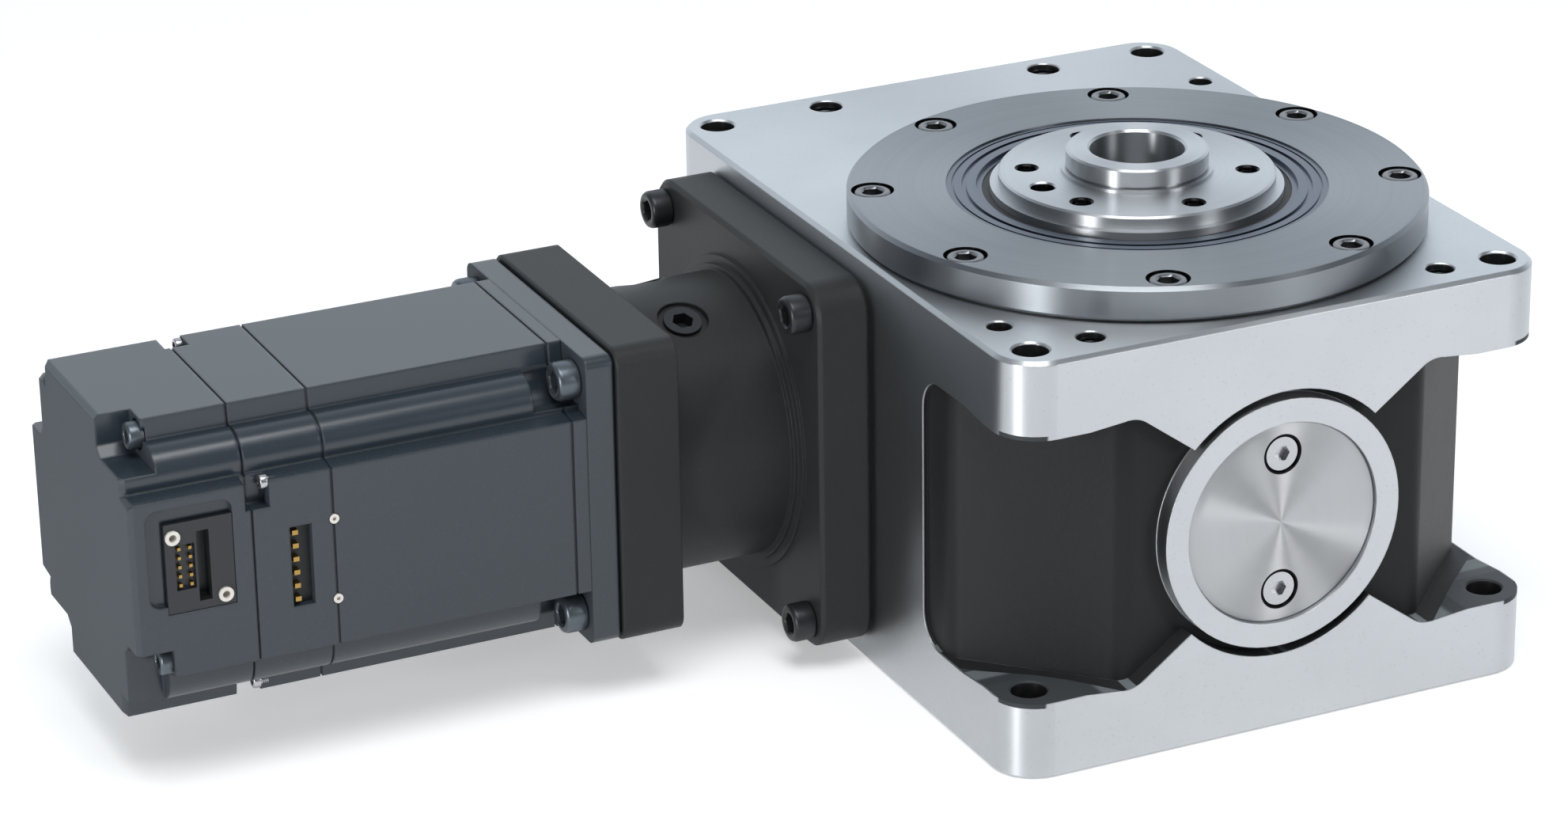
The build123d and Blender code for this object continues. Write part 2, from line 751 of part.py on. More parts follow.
# Cam: a hollow-waisted screw. Each section of its thread is the space between two
# neighbouring rollers, drawn in the plane of the roller axes. One turn of the cam
# carries that space on by one roller pitch, so the section at cam angle t stands at
# pitch * t / 360 round the output axis and is turned back by t round the cam axis.

def rib_section(cam_angle):
    half = math.radians(180 / follower_count)
    lean = math.radians(cam_angle / follower_count)
    turn = math.radians(cam_angle)
    offset = follower_r + mesh_clear
    corners = []
    for side, along in ((1, rib_tip), (1, rib_root), (-1, rib_root), (-1, rib_tip)):
        out = along * math.cos(half) + offset * math.sin(half)
        across = side * (along * math.sin(half) - offset * math.cos(half))
        x = -out * math.sin(lean) - across * math.cos(lean)
        reach = out * math.cos(lean) - across * math.sin(lean) - centre_distance
        corners.append((x, centre_distance + reach * math.cos(turn), mid_height - reach * math.sin(turn)))
    return Face(Wire.make_polygon([Vector(*corner) for corner in corners], close=True))


def make_cam():
    span = cam_sweep * follower_count
    angles = [-span + 2 * span * i / (cam_sections - 1) for i in range(cam_sections)]
    rib = loft([rib_section(angle) for angle in angles])
    half = cam_half_length
    waist = centre_distance - cam_arc_r
    end = centre_distance - math.sqrt(cam_arc_r ** 2 - half ** 2)
    outline = Polyline((half, end), (half, 0), (-half, 0), (-half, end))
    outline += ThreePointArc((-half, end), (0, waist), (half, end))
    core = revolve(make_face(outline), Axis.X)
    core = Pos(0, centre_distance, mid_height) * core
    rib = rib & cyl_x(cam_outer_r, -half, half)
    cam = core + rib
    shaft = cyl_x(cam_collar_r, -in_bearing_start, in_bearing_start)
    far_end = in_bearing_start + in_bearing_width + 1.5
    shaft += cyl_x(cam_shaft_r, -in_bearing_start - in_bearing_width - in_seal_width - 6, far_end)
    shaft += cyl_x(cam_shaft_end_r, coupling_mid + spider_width / 2 + 1, -40)
    return cam + shaft


keep("cam_shaft", make_cam())


# Input bearings: one each side of the cam, in carriers that fit the side bores

def make_input_side():
    start, stop = in_bearing_start, in_bearing_start + in_bearing_width
    outer, inner, balls = ball_bearing(cam_shaft_r, in_bearing_r, start, stop, in_ball_count)
    outers, inners, rolls = [], [], []
    for flip in (0, 180):
        for source, target in (([outer], outers), ([inner], inners), (balls, rolls)):
            target += [on_input(Rot(flip, 0, 0) * shape) for shape in source]
    return outers, inners, rolls


in_outers, in_inners, in_balls = make_input_side()
keep("input_bearing_outers", in_outers)
keep("input_bearing_inners", in_inners)
keep("input_bearing_balls", in_balls)


def make_carrier(outer_end, seal):
    """Carrier sleeve about Z, from the chamber out to the side face."""
    stop = in_bearing_start + in_bearing_width
    carrier = cyl_z(side_bore_r, carrier_inner_end, outer_end)
    carrier -= cyl_z(in_bearing_r - 3, carrier_inner_end - 1, in_bearing_start + 1)
    carrier -= cyl_z(in_bearing_r + fit_gap / 4, in_bearing_start, stop + 2.5)
    if seal:
        carrier -= cyl_z(in_seal_r + fit_gap / 4, stop + 2, stop + 3 + in_seal_width)
        carrier -= cyl_z(in_seal_r + 6, stop + 2.5 + in_seal_width, outer_end + 1)
    else:
        carrier -= cyl_z(in_bearing_r - 2, stop + 2, outer_end - 8)
    return carrier


def clear_followers(carrier):
    """Relief in a carrier's nose, turned about the output axis, for the ring of followers."""
    return carrier - cyl_z(follower_sweep_r, 0, body_height)


near_carrier = on_input(Rot(180, 0, 0) * make_carrier(face_x - adapter_spigot, True))
keep("carrier_motor_side", clear_followers(near_carrier))
keep("carrier_far_side", clear_followers(on_input(make_carrier(face_x, False))))
in_seal_start = in_bearing_start + in_bearing_width + 2.3
keep("input_seal", tube_x(in_seal_r, cam_shaft_r + running_clear, -in_seal_start - in_seal_width, -in_seal_start))


# End cover over the far bore, with its screws

def make_end_cover():
    cover = cyl_x(end_cover_r, face_x, face_x + end_cover_thick)
    cover = chamfer(cover.edges().group_by(Axis.X)[-1], edge_break)
    seat = face_x + end_cover_thick
    room = Pos(0, 0, seat - m4[2] - head_sink) * screw_room(m4, 10, m4[2] + 1)
    screw = Pos(0, 0, seat - m4[2] - head_sink) * cap_screw(m4, end_cover_screw_length)
    for hole in around_x(room, end_cover_screw_circle, end_cover_screw_count, 30):
        cover -= hole
    return cover, around_x(screw, end_cover_screw_circle, end_cover_screw_count, 30)


end_cover, end_cover_screws = make_end_cover()
keep("end_cover", end_cover)
keep("end_cover_screws", end_cover_screws)


# Lower bearing, bottom cover and its seal

low_outer, low_inner, low_balls = ball_bearing(
    low_bearing_bore_r, low_bearing_r, low_bearing_floor, low_bearing_floor + low_bearing_width, low_ball_count)
keep("lower_bearing_outer", low_outer)
keep("lower_bearing_inner", low_inner)
keep("lower_bearing_balls", low_balls)


def make_bottom_cover():
    cover = cyl_z(bottom_cover_r, 0, bottom_cover_thick)
    cover += tube_z(low_bearing_r, low_bearing_r - 5, bottom_cover_thick - 1, low_bearing_floor)
    cover -= cyl_z(bottom_bore_r, -1, bottom_cover_thick + 1)
    cover -= cyl_z(bottom_seal_r, bottom_cover_thick - bottom_seal_height, bottom_cover_thick + 1)
    place = Pos(0, 0, m4[2] + head_sink) * Rot(180, 0, 0)
    for hole in around_z(place * screw_room(m4, 10, m4[2] + 1), bottom_screw_circle, bottom_screw_count):
        cover -= hole
    screws = around_z(place * cap_screw(m4, bottom_screw_length), bottom_screw_circle, bottom_screw_count)
    seal = tube_z(bottom_seal_r - running_clear, sleeve_r + running_clear,
                  bottom_cover_thick - bottom_seal_height, bottom_cover_thick)
    return cover, screws, seal


bottom_cover, bottom_screws, bottom_seal = make_bottom_cover()
keep("bottom_cover", bottom_cover)
keep("bottom_cover_screws", bottom_screws)
keep("bottom_seal", bottom_seal)


# Motor adapter: square plate, round neck and square flange in one casting

def rounded_square(side, corner_r):
    square = Rectangle(side, side)
    return fillet(square.vertices(), corner_r)


def make_adapter():
    plate = slab_x(rounded_square(plate_side, plate_corner_r), plate_x1, plate_x0)
    plate = chamfer(plate.edges().group_by(Axis.X)[0], edge_break)
    body = plate + cyl_x(neck_r, neck_x1 - 1, plate_x1 + 1)
    for radius, height in neck_step:
        body += cyl_x(radius, plate_x1 - height, plate_x1 + 1)
    flange = slab_x(rounded_square(flange_side, adapter_flange_corner_r), adapter_x1, neck_x1)
    body += chamfer(flange.edges().group_by(Axis.X)[0], edge_break / 2)
    body += cyl_x(side_bore_r, plate_x0 - 1, -face_x + adapter_spigot)
    body -= cyl_x(neck_r - neck_wall, adapter_x1 - 1, -face_x + adapter_spigot + 1)
    body -= cyl_x(motor_pilot_r + fit_gap, adapter_x1 - 1, adapter_x1 + motor_pilot + 0.5)
    room = Rot(180, 0, 0) * screw_room(m6, plate_thick + 5, 0)
    for hole in around_x(Pos(0, 0, plate_x1) * room, plate_screw_circle / 2, 4, 45):
        body -= hole
    tap = cyl_z(m6[0] + tap_clear, adapter_x1 - 1, adapter_x1 + 14)
    for hole in around_x(tap, motor_screw_circle / 2, 4, 45):
        body -= hole
    for angle in plug_angles:
        place = Pos(plug_x, centre_distance, mid_height) * Rot(angle, 0, 0)
        body -= place * cyl_z(plug_r + tap_clear, neck_r - neck_wall - 4, neck_r + 5)
        body -= place * cyl_z(plug_seat_r, neck_r - 1.6, neck_r + 5)
    return body


keep("adapter_housing", make_adapter())


def make_shim():
    shim = slab_x(rounded_square(adapter_shim_side, plate_corner_r), plate_x0, -face_x)
    shim -= cyl_x(side_bore_r + fit_gap, plate_x0 - 1, -face_x + 1)
    for hole in around_x(cyl_z(m6[0] + screw_clear, plate_x0 - 1, -face_x + 1), plate_screw_circle / 2, 4, 45):
        shim -= hole
    return shim


keep("adapter_gasket", make_shim())
adapter_screw = Pos(0, 0, plate_x1) * Rot(180, 0, 0) * cap_screw(m6, plate_thick + adapter_shim + plate_screw_grip)
keep("adapter_screws", around_x(adapter_screw, plate_screw_circle / 2, 4, 45))


def make_plugs():
    plug = cyl_z(plug_r, neck_r - plug_length, neck_r - 0.6)
    plug -= slab_z(RegularPolygon(m6[3] / 2, 6, major_radius=False), neck_r - 4, neck_r)
    place = Pos(plug_x, centre_distance, mid_height)
    return [place * Rot(angle, 0, 0) * plug for angle in plug_angles]


keep("access_plugs", make_plugs())


# Coupling: two clamp hubs with jaws and a soft spider between them

def jaw_ring(x0, x1, phase, grow):
    """Jaw sectors about the input axis; grow opens each side for the spider."""
    sector = []
    half = math.radians(jaw_angle / 2) + grow / coupling_r
    reach = coupling_r * 1.4
    for i in range(jaw_count):
        middle = math.radians(phase + i * 360 / jaw_count)
        points = [(0, 0)]
        for turn in (-half, 0, half):
            points.append((reach * math.cos(middle + turn), reach * math.sin(middle + turn)))
        sector.append(polygon(points))
    ring = Circle(coupling_r - 0.4) - Circle(coupling_r * 0.42)
    solids = []
    for wedge in sector:
        solids.append(slab_x(ring & wedge, x0, x1))
    return solids


def make_coupling():
    half = spider_width / 2
    gap = spider_clear
    near_x = coupling_mid + half + gap
    far_x = coupling_mid - half - gap
    cam_hub = tube_x(coupling_r, cam_shaft_end_r, near_x, near_x + coupling_hub_length)
    motor_hub = tube_x(coupling_r, motor_shaft_r, far_x - coupling_hub_length, far_x)
    for jaw in jaw_ring(coupling_mid - half, near_x + 1, 0, 0):
        cam_hub += jaw
    for jaw in jaw_ring(far_x - 1, coupling_mid + half, 60, 0):
        motor_hub += jaw
    spider = cyl_x(coupling_r - 1, coupling_mid - half, coupling_mid + half)
    for phase in (0, 60):
        for jaw in jaw_ring(coupling_mid - half - 1, coupling_mid + half + 1, phase, gap):
            spider -= jaw
    spider -= cyl_x(motor_shaft_r - 2, coupling_mid - half - 1, coupling_mid + half + 1)
    slit_z = 1.0
    for hub_x, sign in ((near_x + coupling_hub_length, 1), (far_x - coupling_hub_length, -1)):
        slit = Pos(hub_x, centre_distance + coupling_r / 2 + 4, mid_height)
        slit = slit * Box(2 * coupling_hub_length - 8, coupling_r, slit_z)
        if sign > 0:
            cam_hub -= slit
        else:
            motor_hub -= slit
    clamp_screws = []
    for hub_x in (near_x + coupling_hub_length - 5, far_x - coupling_hub_length + 5):
        place = Pos(hub_x, centre_distance + 17.0, mid_height + 6.5)
        clamp_screws.append(place * cap_screw(m4, 14))
        cut = place * (cyl_z(m4[0] + tap_clear, -14.5, 1) + cyl_z(m4[1] + 0.3, 0, 20))
        if hub_x > coupling_mid:
            cam_hub -= cut
        else:
            motor_hub -= cut
    return cam_hub, motor_hub, spider, clamp_screws


cam_hub, motor_hub, spider, clamp_screws = make_coupling()
keep("coupling_hub_cam", cam_hub)
keep("coupling_hub_motor", motor_hub)
keep("coupling_spider", spider)
keep("coupling_clamp_screws", clamp_screws)


# Motor: a square frame whose four long edges are scalloped for the screws

def scalloped_square(side):
    """Square outline with a stepped, bulged scallop at each corner."""
    edge = side / 2
    flat = motor_flat
    step = edge - 5.5
    inner = flat + 0.8
    bulge = inner + 7.4
    arcs = []
    for quarter in range(4):
        turn = Rot(0, 0, 90 * quarter)
        run = Polyline((edge, -flat), (edge, flat), (step, inner))
        arcs.append(turn * run)
        arcs.append(turn * ThreePointArc((step, inner), (bulge, bulge), (inner, step)))
        arcs.append(turn * Line((inner, step), (flat, edge)))
    return make_face(Wire(Wire.combine([edge for arc in arcs for edge in arc.edges()])[0]))


def corner_notches(x0, x1):
    """Deeper pockets in the four scallops, for the heads of the fixing screws."""
    reach = motor_screw_circle / 2
    return around_x(cyl_z(m6[1] + 1.6, x0, x1), reach, 4, 45)


def side_block(x0, x1, z, depth0, depth1):
    """Block in the motor's port side; z is from mid height and the depths are from the flat."""
    side_y = centre_distance - motor_side / 2
    middle = Pos((x0 + x1) / 2, side_y + (depth0 + depth1) / 2, mid_height + (z[0] + z[1]) / 2)
    return middle * Box(x1 - x0, depth1 - depth0, z[1] - z[0])


def seam(x0, x1):
    """Thin groove round the motor's outline."""
    outline = scalloped_square(motor_side)
    return slab_x(outline - scale(outline, by=1 - 2 * seam_depth / motor_side), x0, x1)


def seam_notches():
    """Four small openings across the joint between frame and cover, one at an end of each flat."""
    low, high = seam_notch_z
    x0 = motor_body_x1 - seam_notch_ends[0]
    x1 = motor_body_x1 + seam_notch_ends[1]
    room = Pos(-(low + high) / 2, -motor_side / 2, (x0 + x1) / 2) * Box(high - low, 2 * seam_notch_depth, x1 - x0)
    return around_x(room, 0, 4)


def make_motor_frame():
    flange = slab_x(rounded_square(motor_side, motor_flange_corner_r), motor_flange_x1, adapter_x1)
    flange = chamfer(flange.edges().group_by(Axis.X)[-1], edge_break)
    flange += cyl_x(motor_pilot_r, adapter_x1 - 1, adapter_x1 + motor_pilot)
    seat_x0 = adapter_x1 - 3 - motor_bearing_width - 1
    flange += cyl_x(stator_bore_r - fit_gap / 2, seat_x0, motor_flange_x1 + 1)
    flange -= cyl_x(motor_bearing_r, seat_x0 - 1, adapter_x1 - 3)
    flange -= cyl_x(motor_shaft_r + 3, motor_flange_x1 - 1, adapter_x1 + motor_pilot + 1)
    hole = cyl_z(m6[0] + screw_clear, motor_flange_x1 - 1, adapter_x1 + 1)
    for cut in around_x(hole, motor_screw_circle / 2, 4, 45):
        flange -= cut
    frame = slab_x(scalloped_square(motor_side), motor_body_x1, motor_flange_x1)
    frame -= cyl_x(stator_bore_r, motor_body_x1 - 1, motor_flange_x1 + 1)
    for cut in corner_notches(motor_flange_x1 - notch_length, motor_flange_x1 + 1):
        frame -= cut
    tap = cyl_z(m4[0] + tap_clear, motor_body_x1 - 1, motor_body_x1 + rear_screw_grip + 1)
    for cut in around_x(tap, rear_screw_reach, 4, rear_screw_phase) + seam_notches():
        frame -= cut
    for x in (motor_body_x1 - seam_width / 2, motor_body_x1 + seam_rear, motor_flange_x1 - seam_front - seam_width):
        frame -= seam(x, x + seam_width)
    side_y = centre_distance - motor_side / 2
    frame -= side_block(power_x0, power_x1, power_socket_z, -1, power_depth)
    for z in power_socket_z:
        place = Pos(power_screw_x, side_y, mid_height + z) * Rot(90, 0, 0)
        frame -= place * cyl_z(m3[0] / 2 + 0.6, -4.6, 1)
    return flange, frame


motor_flange, motor_frame = make_motor_frame()
keep("motor_front_flange", motor_flange)
keep("motor_frame", motor_frame)
motor_screw = Pos(0, 0, motor_flange_x1) * Rot(180, 0, 0) * cap_screw(m6, motor_flange_thick + motor_screw_grip)
keep("motor_screws", around_x(motor_screw, motor_screw_circle / 2, 4, 45))


def make_power_socket():
    """Contact block at the bottom of the power opening, with its pins, and two small screws."""
    side_y = centre_distance - motor_side / 2
    block_z = (power_socket_z[0] + fit_gap / 2, power_socket_z[1] - fit_gap / 2)
    block = side_block(power_x0 + fit_gap / 2, power_x1 - fit_gap / 2, block_z, power_depth - 1.2, power_depth)
    pins = []
    pitch = (block_z[1] - block_z[0]) / power_pin_count
    for i in range(power_pin_count):
        z = block_z[0] + (i + 0.5) * pitch
        pins.append(side_block(power_x0 + 0.7, power_x0 + 2.2, (z - 0.6, z + 0.6), power_depth - 3.2, power_depth - 1.2))
    screws = []
    for z in power_socket_z:
        place = Pos(power_screw_x, side_y, mid_height + z) * Rot(90, 0, 0)
        screws.append(place * (cyl_z(m3[0] / 2 + 0.5, -4.5, 0.1) - cyl_z(0.5, -0.6, 1)))
    return block, pins, screws


power_block, power_pins, power_screws = make_power_socket()
keep("power_socket", power_block)
keep("power_pins", power_pins)


# Stator: laminated core with teeth, and the windings' end turns

def make_stator():
    mid_x = (motor_flange_x1 + motor_body_x1) / 2
    x0, x1 = mid_x - stator_core_length / 2, mid_x + stator_core_length / 2
    core = tube_x(stator_core_r, stator_gap_r, x0, x1)
    slot_r = (stator_core_r - 4 + stator_gap_r + 2) / 2
    slot = cyl_z(2.6, x0 - 1, x1 + 1)
    for cut in around_x(slot, slot_r, slot_count):
        core -= cut
    turns = []
    for end, sign in ((x0, -1), (x1, 1)):
        near, far = sorted((end, end + sign * winding_reach))
        ring = tube_x(slot_r + 4.5, slot_r - 4.5, near, far)
        turns.append(ring)
    return core, turns


stator_core, windings = make_stator()
keep("stator_core", stator_core)
keep("stator_windings", windings)


# Rotor: shaft, magnet ring and the bearings at both ends

def make_rotor():
    mid_x = (motor_flange_x1 + motor_body_x1) / 2
    x0, x1 = mid_x - stator_core_length / 2, mid_x + stator_core_length / 2
    front_x = adapter_x1 - 3 - motor_bearing_width
    rear_x = motor_body_x1 + rear_bearing_width
    shaft = cyl_x(motor_shaft_r, front_x + motor_bearing_width + 0.5, adapter_x1 + motor_shaft_reach)
    shaft += cyl_x(motor_bearing_bore_r, front_x, front_x + motor_bearing_width + 1)
    shaft += cyl_x(rotor_core_r, x0, x1)
    shaft += cyl_x(motor_shaft_r + 2.5, x1 - 1, front_x - 0.3)
    shaft += cyl_x(motor_shaft_r, rear_x + 0.5, x0 + 1)
    shaft += cyl_x(rear_bearing_bore_r, motor_body_x1 - 12, rear_x + 1)
    shaft += cyl_x(motor_bearing_bore_r, front_x - 1, front_x + 1)
    magnets = tube_x(magnet_r, rotor_core_r, x0 + 1, x1 - 1)
    return shaft, magnets, front_x, rear_x


rotor_shaft, rotor_magnets, front_bearing_x, rear_bearing_x = make_rotor()
keep("rotor_shaft", rotor_shaft)
keep("rotor_magnets", rotor_magnets)

front_outer, front_inner, front_balls = ball_bearing(
    motor_bearing_bore_r, motor_bearing_r - running_clear, front_bearing_x,
    front_bearing_x + motor_bearing_width, 8)
rear_outer, rear_inner, rear_balls = ball_bearing(
    rear_bearing_bore_r, rear_bearing_r - running_clear, motor_body_x1, rear_bearing_x, 7)
keep("motor_bearing_outers", [on_input(front_outer), on_input(rear_outer)])
keep("motor_bearing_inners", [on_input(front_inner), on_input(rear_inner)])
keep("motor_bearing_balls", [on_input(ball) for ball in front_balls + rear_balls])


rear_bracket = tube_x(stator_bore_r - fit_gap / 2, rear_bearing_r,
                      motor_body_x1, motor_body_x1 + rear_bracket_thick)
keep("rear_bearing_bracket", rear_bracket)


# Encoder cover, its screws and what it holds

def rear_notch_room():
    """Opening in one corner of the cover's end, for the head of its screw, built about Z."""
    wall, low = rear_notch_wall, rear_notch_low
    far = motor_side / 2 + 5
    corner = polygon([(-far, -wall), (-low - 2.4, -wall), (-low, -wall - 2.8), (-low, -far), (-far, -far)])
    return slab_z(corner, motor_rear - 1, motor_rear + rear_notch_end)


def make_encoder_cover():
    cover = slab_x(scalloped_square(motor_side), motor_rear, motor_body_x1)
    cover = chamfer(cover.faces().sort_by(Axis.X)[0].edges(), 1.2)
    cover -= cyl_x(stator_bore_r - 2, motor_rear + rear_cover_wall, motor_body_x1 + 1)
    for cut in around_x(rear_notch_room(), 0, 4) + seam_notches():
        cover -= cut
    room = cyl_z(m4[1] + 0.5, motor_rear - 1, motor_rear + rear_screw_seat)
    room += cyl_z(m4[0] + tap_clear, motor_rear, motor_body_x1 + 1)
    for cut in around_x(room, rear_screw_reach, 4, rear_screw_phase):
        cover -= cut
    cover -= seam(motor_body_x1 - seam_width / 2, motor_body_x1 + seam_width / 2)
    tray = Rectangle(tray_from_rear[1] - tray_from_rear[0], tray_z[1] - tray_z[0])
    tray = Pos(motor_rear + sum(tray_from_rear) / 2, sum(tray_z) / 2) * fillet(tray.vertices(), tray_round)
    side_y = centre_distance - motor_side / 2
    cover -= slab_y(tray, side_y - 1, side_y + tray_depth)
    x0, x1 = motor_rear + enc_block_from_rear[0], motor_rear + enc_block_from_rear[1]
    gap = fit_gap
    cover -= side_block(x0 - gap, x1 + gap, (enc_block_z[0] - gap, enc_block_z[1] + gap), -1, 8)
    socket = side_block(x0, x1, enc_block_z, enc_block_sink, enc_block_depth)
    slot_x0, slot_x1 = motor_rear + enc_slot_from_rear[0], motor_rear + enc_slot_from_rear[1]
    socket -= side_block(slot_x0, slot_x1, enc_slot_z, -1, enc_slot_depth)
    pit_x0, pit_x1 = motor_rear + enc_pit_from_rear[0], motor_rear + enc_pit_from_rear[1]
    socket -= side_block(pit_x0, pit_x1, enc_pit_z, -1, enc_pit_depth)
    pins = []
    pitch = (enc_pit_z[1] - enc_pit_z[0]) / enc_pin_rows
    for i in range(enc_pin_rows):
        z = enc_pit_z[0] + (i + 0.5) * pitch
        for x in (pit_x0 + 1.1, pit_x1 - 1.1):
            pins.append(side_block(x - 0.4, x + 0.4, (z - 0.4, z + 0.4), enc_block_sink + 0.2, enc_pit_depth))
    screws = []
    for x, z in enc_screws:
        place = Pos(motor_rear + x, side_y, mid_height + z) * Rot(90, 0, 0)
        socket -= place * cyl_z(enc_screw_r + tap_clear, -3.5, 1)
        screws.append(place * (cyl_z(enc_screw_r, -3.5, 0.4) - cyl_z(enc_screw_r / 2, -1.6, 1)))
    cover_screw = Pos(0, 0, motor_rear + rear_screw_seat) * Rot(180, 0, 0) * cap_screw(
        m4, rear_cover_length - rear_screw_seat + rear_screw_grip)
    return cover, socket, pins, screws, around_x(cover_screw, rear_screw_reach, 4, rear_screw_phase)


encoder_cover, encoder_socket, encoder_pins, socket_screws, rear_screws = make_encoder_cover()
keep("encoder_cover", encoder_cover)
keep("encoder_socket", encoder_socket)
keep("encoder_pins", encoder_pins)
keep("connector_screws", power_screws + socket_screws)
keep("encoder_cover_screws", rear_screws)
keep("encoder_disc", tube_x(
    encoder_disc_r, rear_bearing_bore_r, motor_body_x1 - encoder_disc_from_seam - encoder_disc_thick,
    motor_body_x1 - encoder_disc_from_seam))
keep("encoder_board", tube_x(
    encoder_board_r, rear_bearing_bore_r + 2, motor_body_x1 - encoder_board_from_seam - encoder_board_thick,
    motor_body_x1 - encoder_board_from_seam))


for name, solids in nodes.items():
    shape = solids[0] if len(solids) == 1 else Compound(children=solids)
    shape.label = name
    export_step(shape, f"parts/{name}.step")
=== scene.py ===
# Looks of a right-angle roller gear reducer with its servo motor.
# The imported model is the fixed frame. Each section below dresses one piece, or one group of
# like pieces, in the order in which the machine is put together. The machine's sizes are in
# millimetres, the studio's and the camera's in metres.
import math
from functools import reduce

import bmesh
import bpy
import numpy as np
from mathutils import Matrix, Vector


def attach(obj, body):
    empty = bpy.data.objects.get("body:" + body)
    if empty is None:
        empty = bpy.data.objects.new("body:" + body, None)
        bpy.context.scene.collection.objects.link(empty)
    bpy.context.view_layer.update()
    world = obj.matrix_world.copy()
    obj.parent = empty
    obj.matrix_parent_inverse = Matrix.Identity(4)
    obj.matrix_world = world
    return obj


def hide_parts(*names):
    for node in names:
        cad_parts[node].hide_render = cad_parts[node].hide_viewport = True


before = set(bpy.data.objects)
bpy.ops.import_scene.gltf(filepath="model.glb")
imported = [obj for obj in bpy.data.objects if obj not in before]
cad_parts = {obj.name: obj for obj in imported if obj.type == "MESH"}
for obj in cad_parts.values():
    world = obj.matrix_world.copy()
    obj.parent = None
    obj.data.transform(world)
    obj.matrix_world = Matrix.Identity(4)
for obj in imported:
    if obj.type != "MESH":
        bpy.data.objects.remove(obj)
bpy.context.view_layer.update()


# Housing block.
# One iron casting. Its outer faces are milled bright; the corner hollows and the wall
# behind the port keep the foundry's skin under black paint.

# The pads begin where |x| - y is PAD_LINE. Corner holes stand at CORNER_HOLE_X to each side and
# CORNER_HOLE_REACH before and behind the middle of the block.
MM = 0.001
HALF_WIDTH, FRONT_Y, REAR_Y = 75.0, -76.3, 122.3
MID_HEIGHT, FLANGE, PAD_RISE = 55.3, 19.2, 1.1
POCKET_END_Y, PAD_LINE = -27.4, 120.6
NOTCH_X, NOTCH_Y = 48.2, 95.5
PORT_RING_R, GROOVE_R, GROOVE_FLOOR_Y = 33.1, 36.1, -62.0
CORNER_HOLE_X, CORNER_HOLE_MID_Y, CORNER_HOLE_REACH, CORNER_HOLE_R = 65.8, 23.0, 89.7, 4.6
REAR_TAP, LIFT_TAP = (33.3, 113.0), (49.2, -66.2)
DOWEL_HOLES = ((-65.5, -50.0), (66.5, 83.9))
# Near-black colour of painted shade, laid in holes and screw mouths.
RECESS_SHADE = (0.012, 0.012, 0.013)


class Value:
    """A number in a material's node tree, so that shader maths reads as ordinary maths."""

    def __init__(self, tree, socket):
        self.tree = tree
        self.socket = socket

    def by(self, operation, *others):
        """This value and the others, joined by one operation of a Math node."""
        node = self.tree.nodes.new("ShaderNodeMath")
        node.operation = operation
        for slot, other in zip(node.inputs, (self, *others)):
            if isinstance(other, Value):
                self.tree.links.new(other.socket, slot)
            else:
                slot.default_value = other
        return Value(self.tree, node.outputs[0])

    def __add__(self, other):
        return self.by("ADD", other)

    __radd__ = __add__

    def __sub__(self, other):
        return self.by("SUBTRACT", other)

    def __rsub__(self, other):
        return (self * -1.0).by("ADD", other)

    def __mul__(self, other):
        return self.by("MULTIPLY", other)

    __rmul__ = __mul__

    def __truediv__(self, other):
        return self.by("DIVIDE", other)

    def __abs__(self):
        return self.by("ABSOLUTE")

    def most(self, other):
        """The larger of the two, which joins two masks."""
        return self.by("MAXIMUM", other)

    def step(self, low, high):
        """0 at low and beyond, 1 at high and beyond, smooth between; low may be the larger."""
        node = self.tree.nodes.new("ShaderNodeMapRange")
        node.interpolation_type = "SMOOTHSTEP"
        self.tree.links.new(self.socket, node.inputs["Value"])
        node.inputs["From Min"].default_value = min(low, high)
        node.inputs["From Max"].default_value = max(low, high)
        node.inputs["To Min"].default_value = float(low > high)
        node.inputs["To Max"].default_value = float(low <= high)
        return Value(self.tree, node.outputs["Result"])


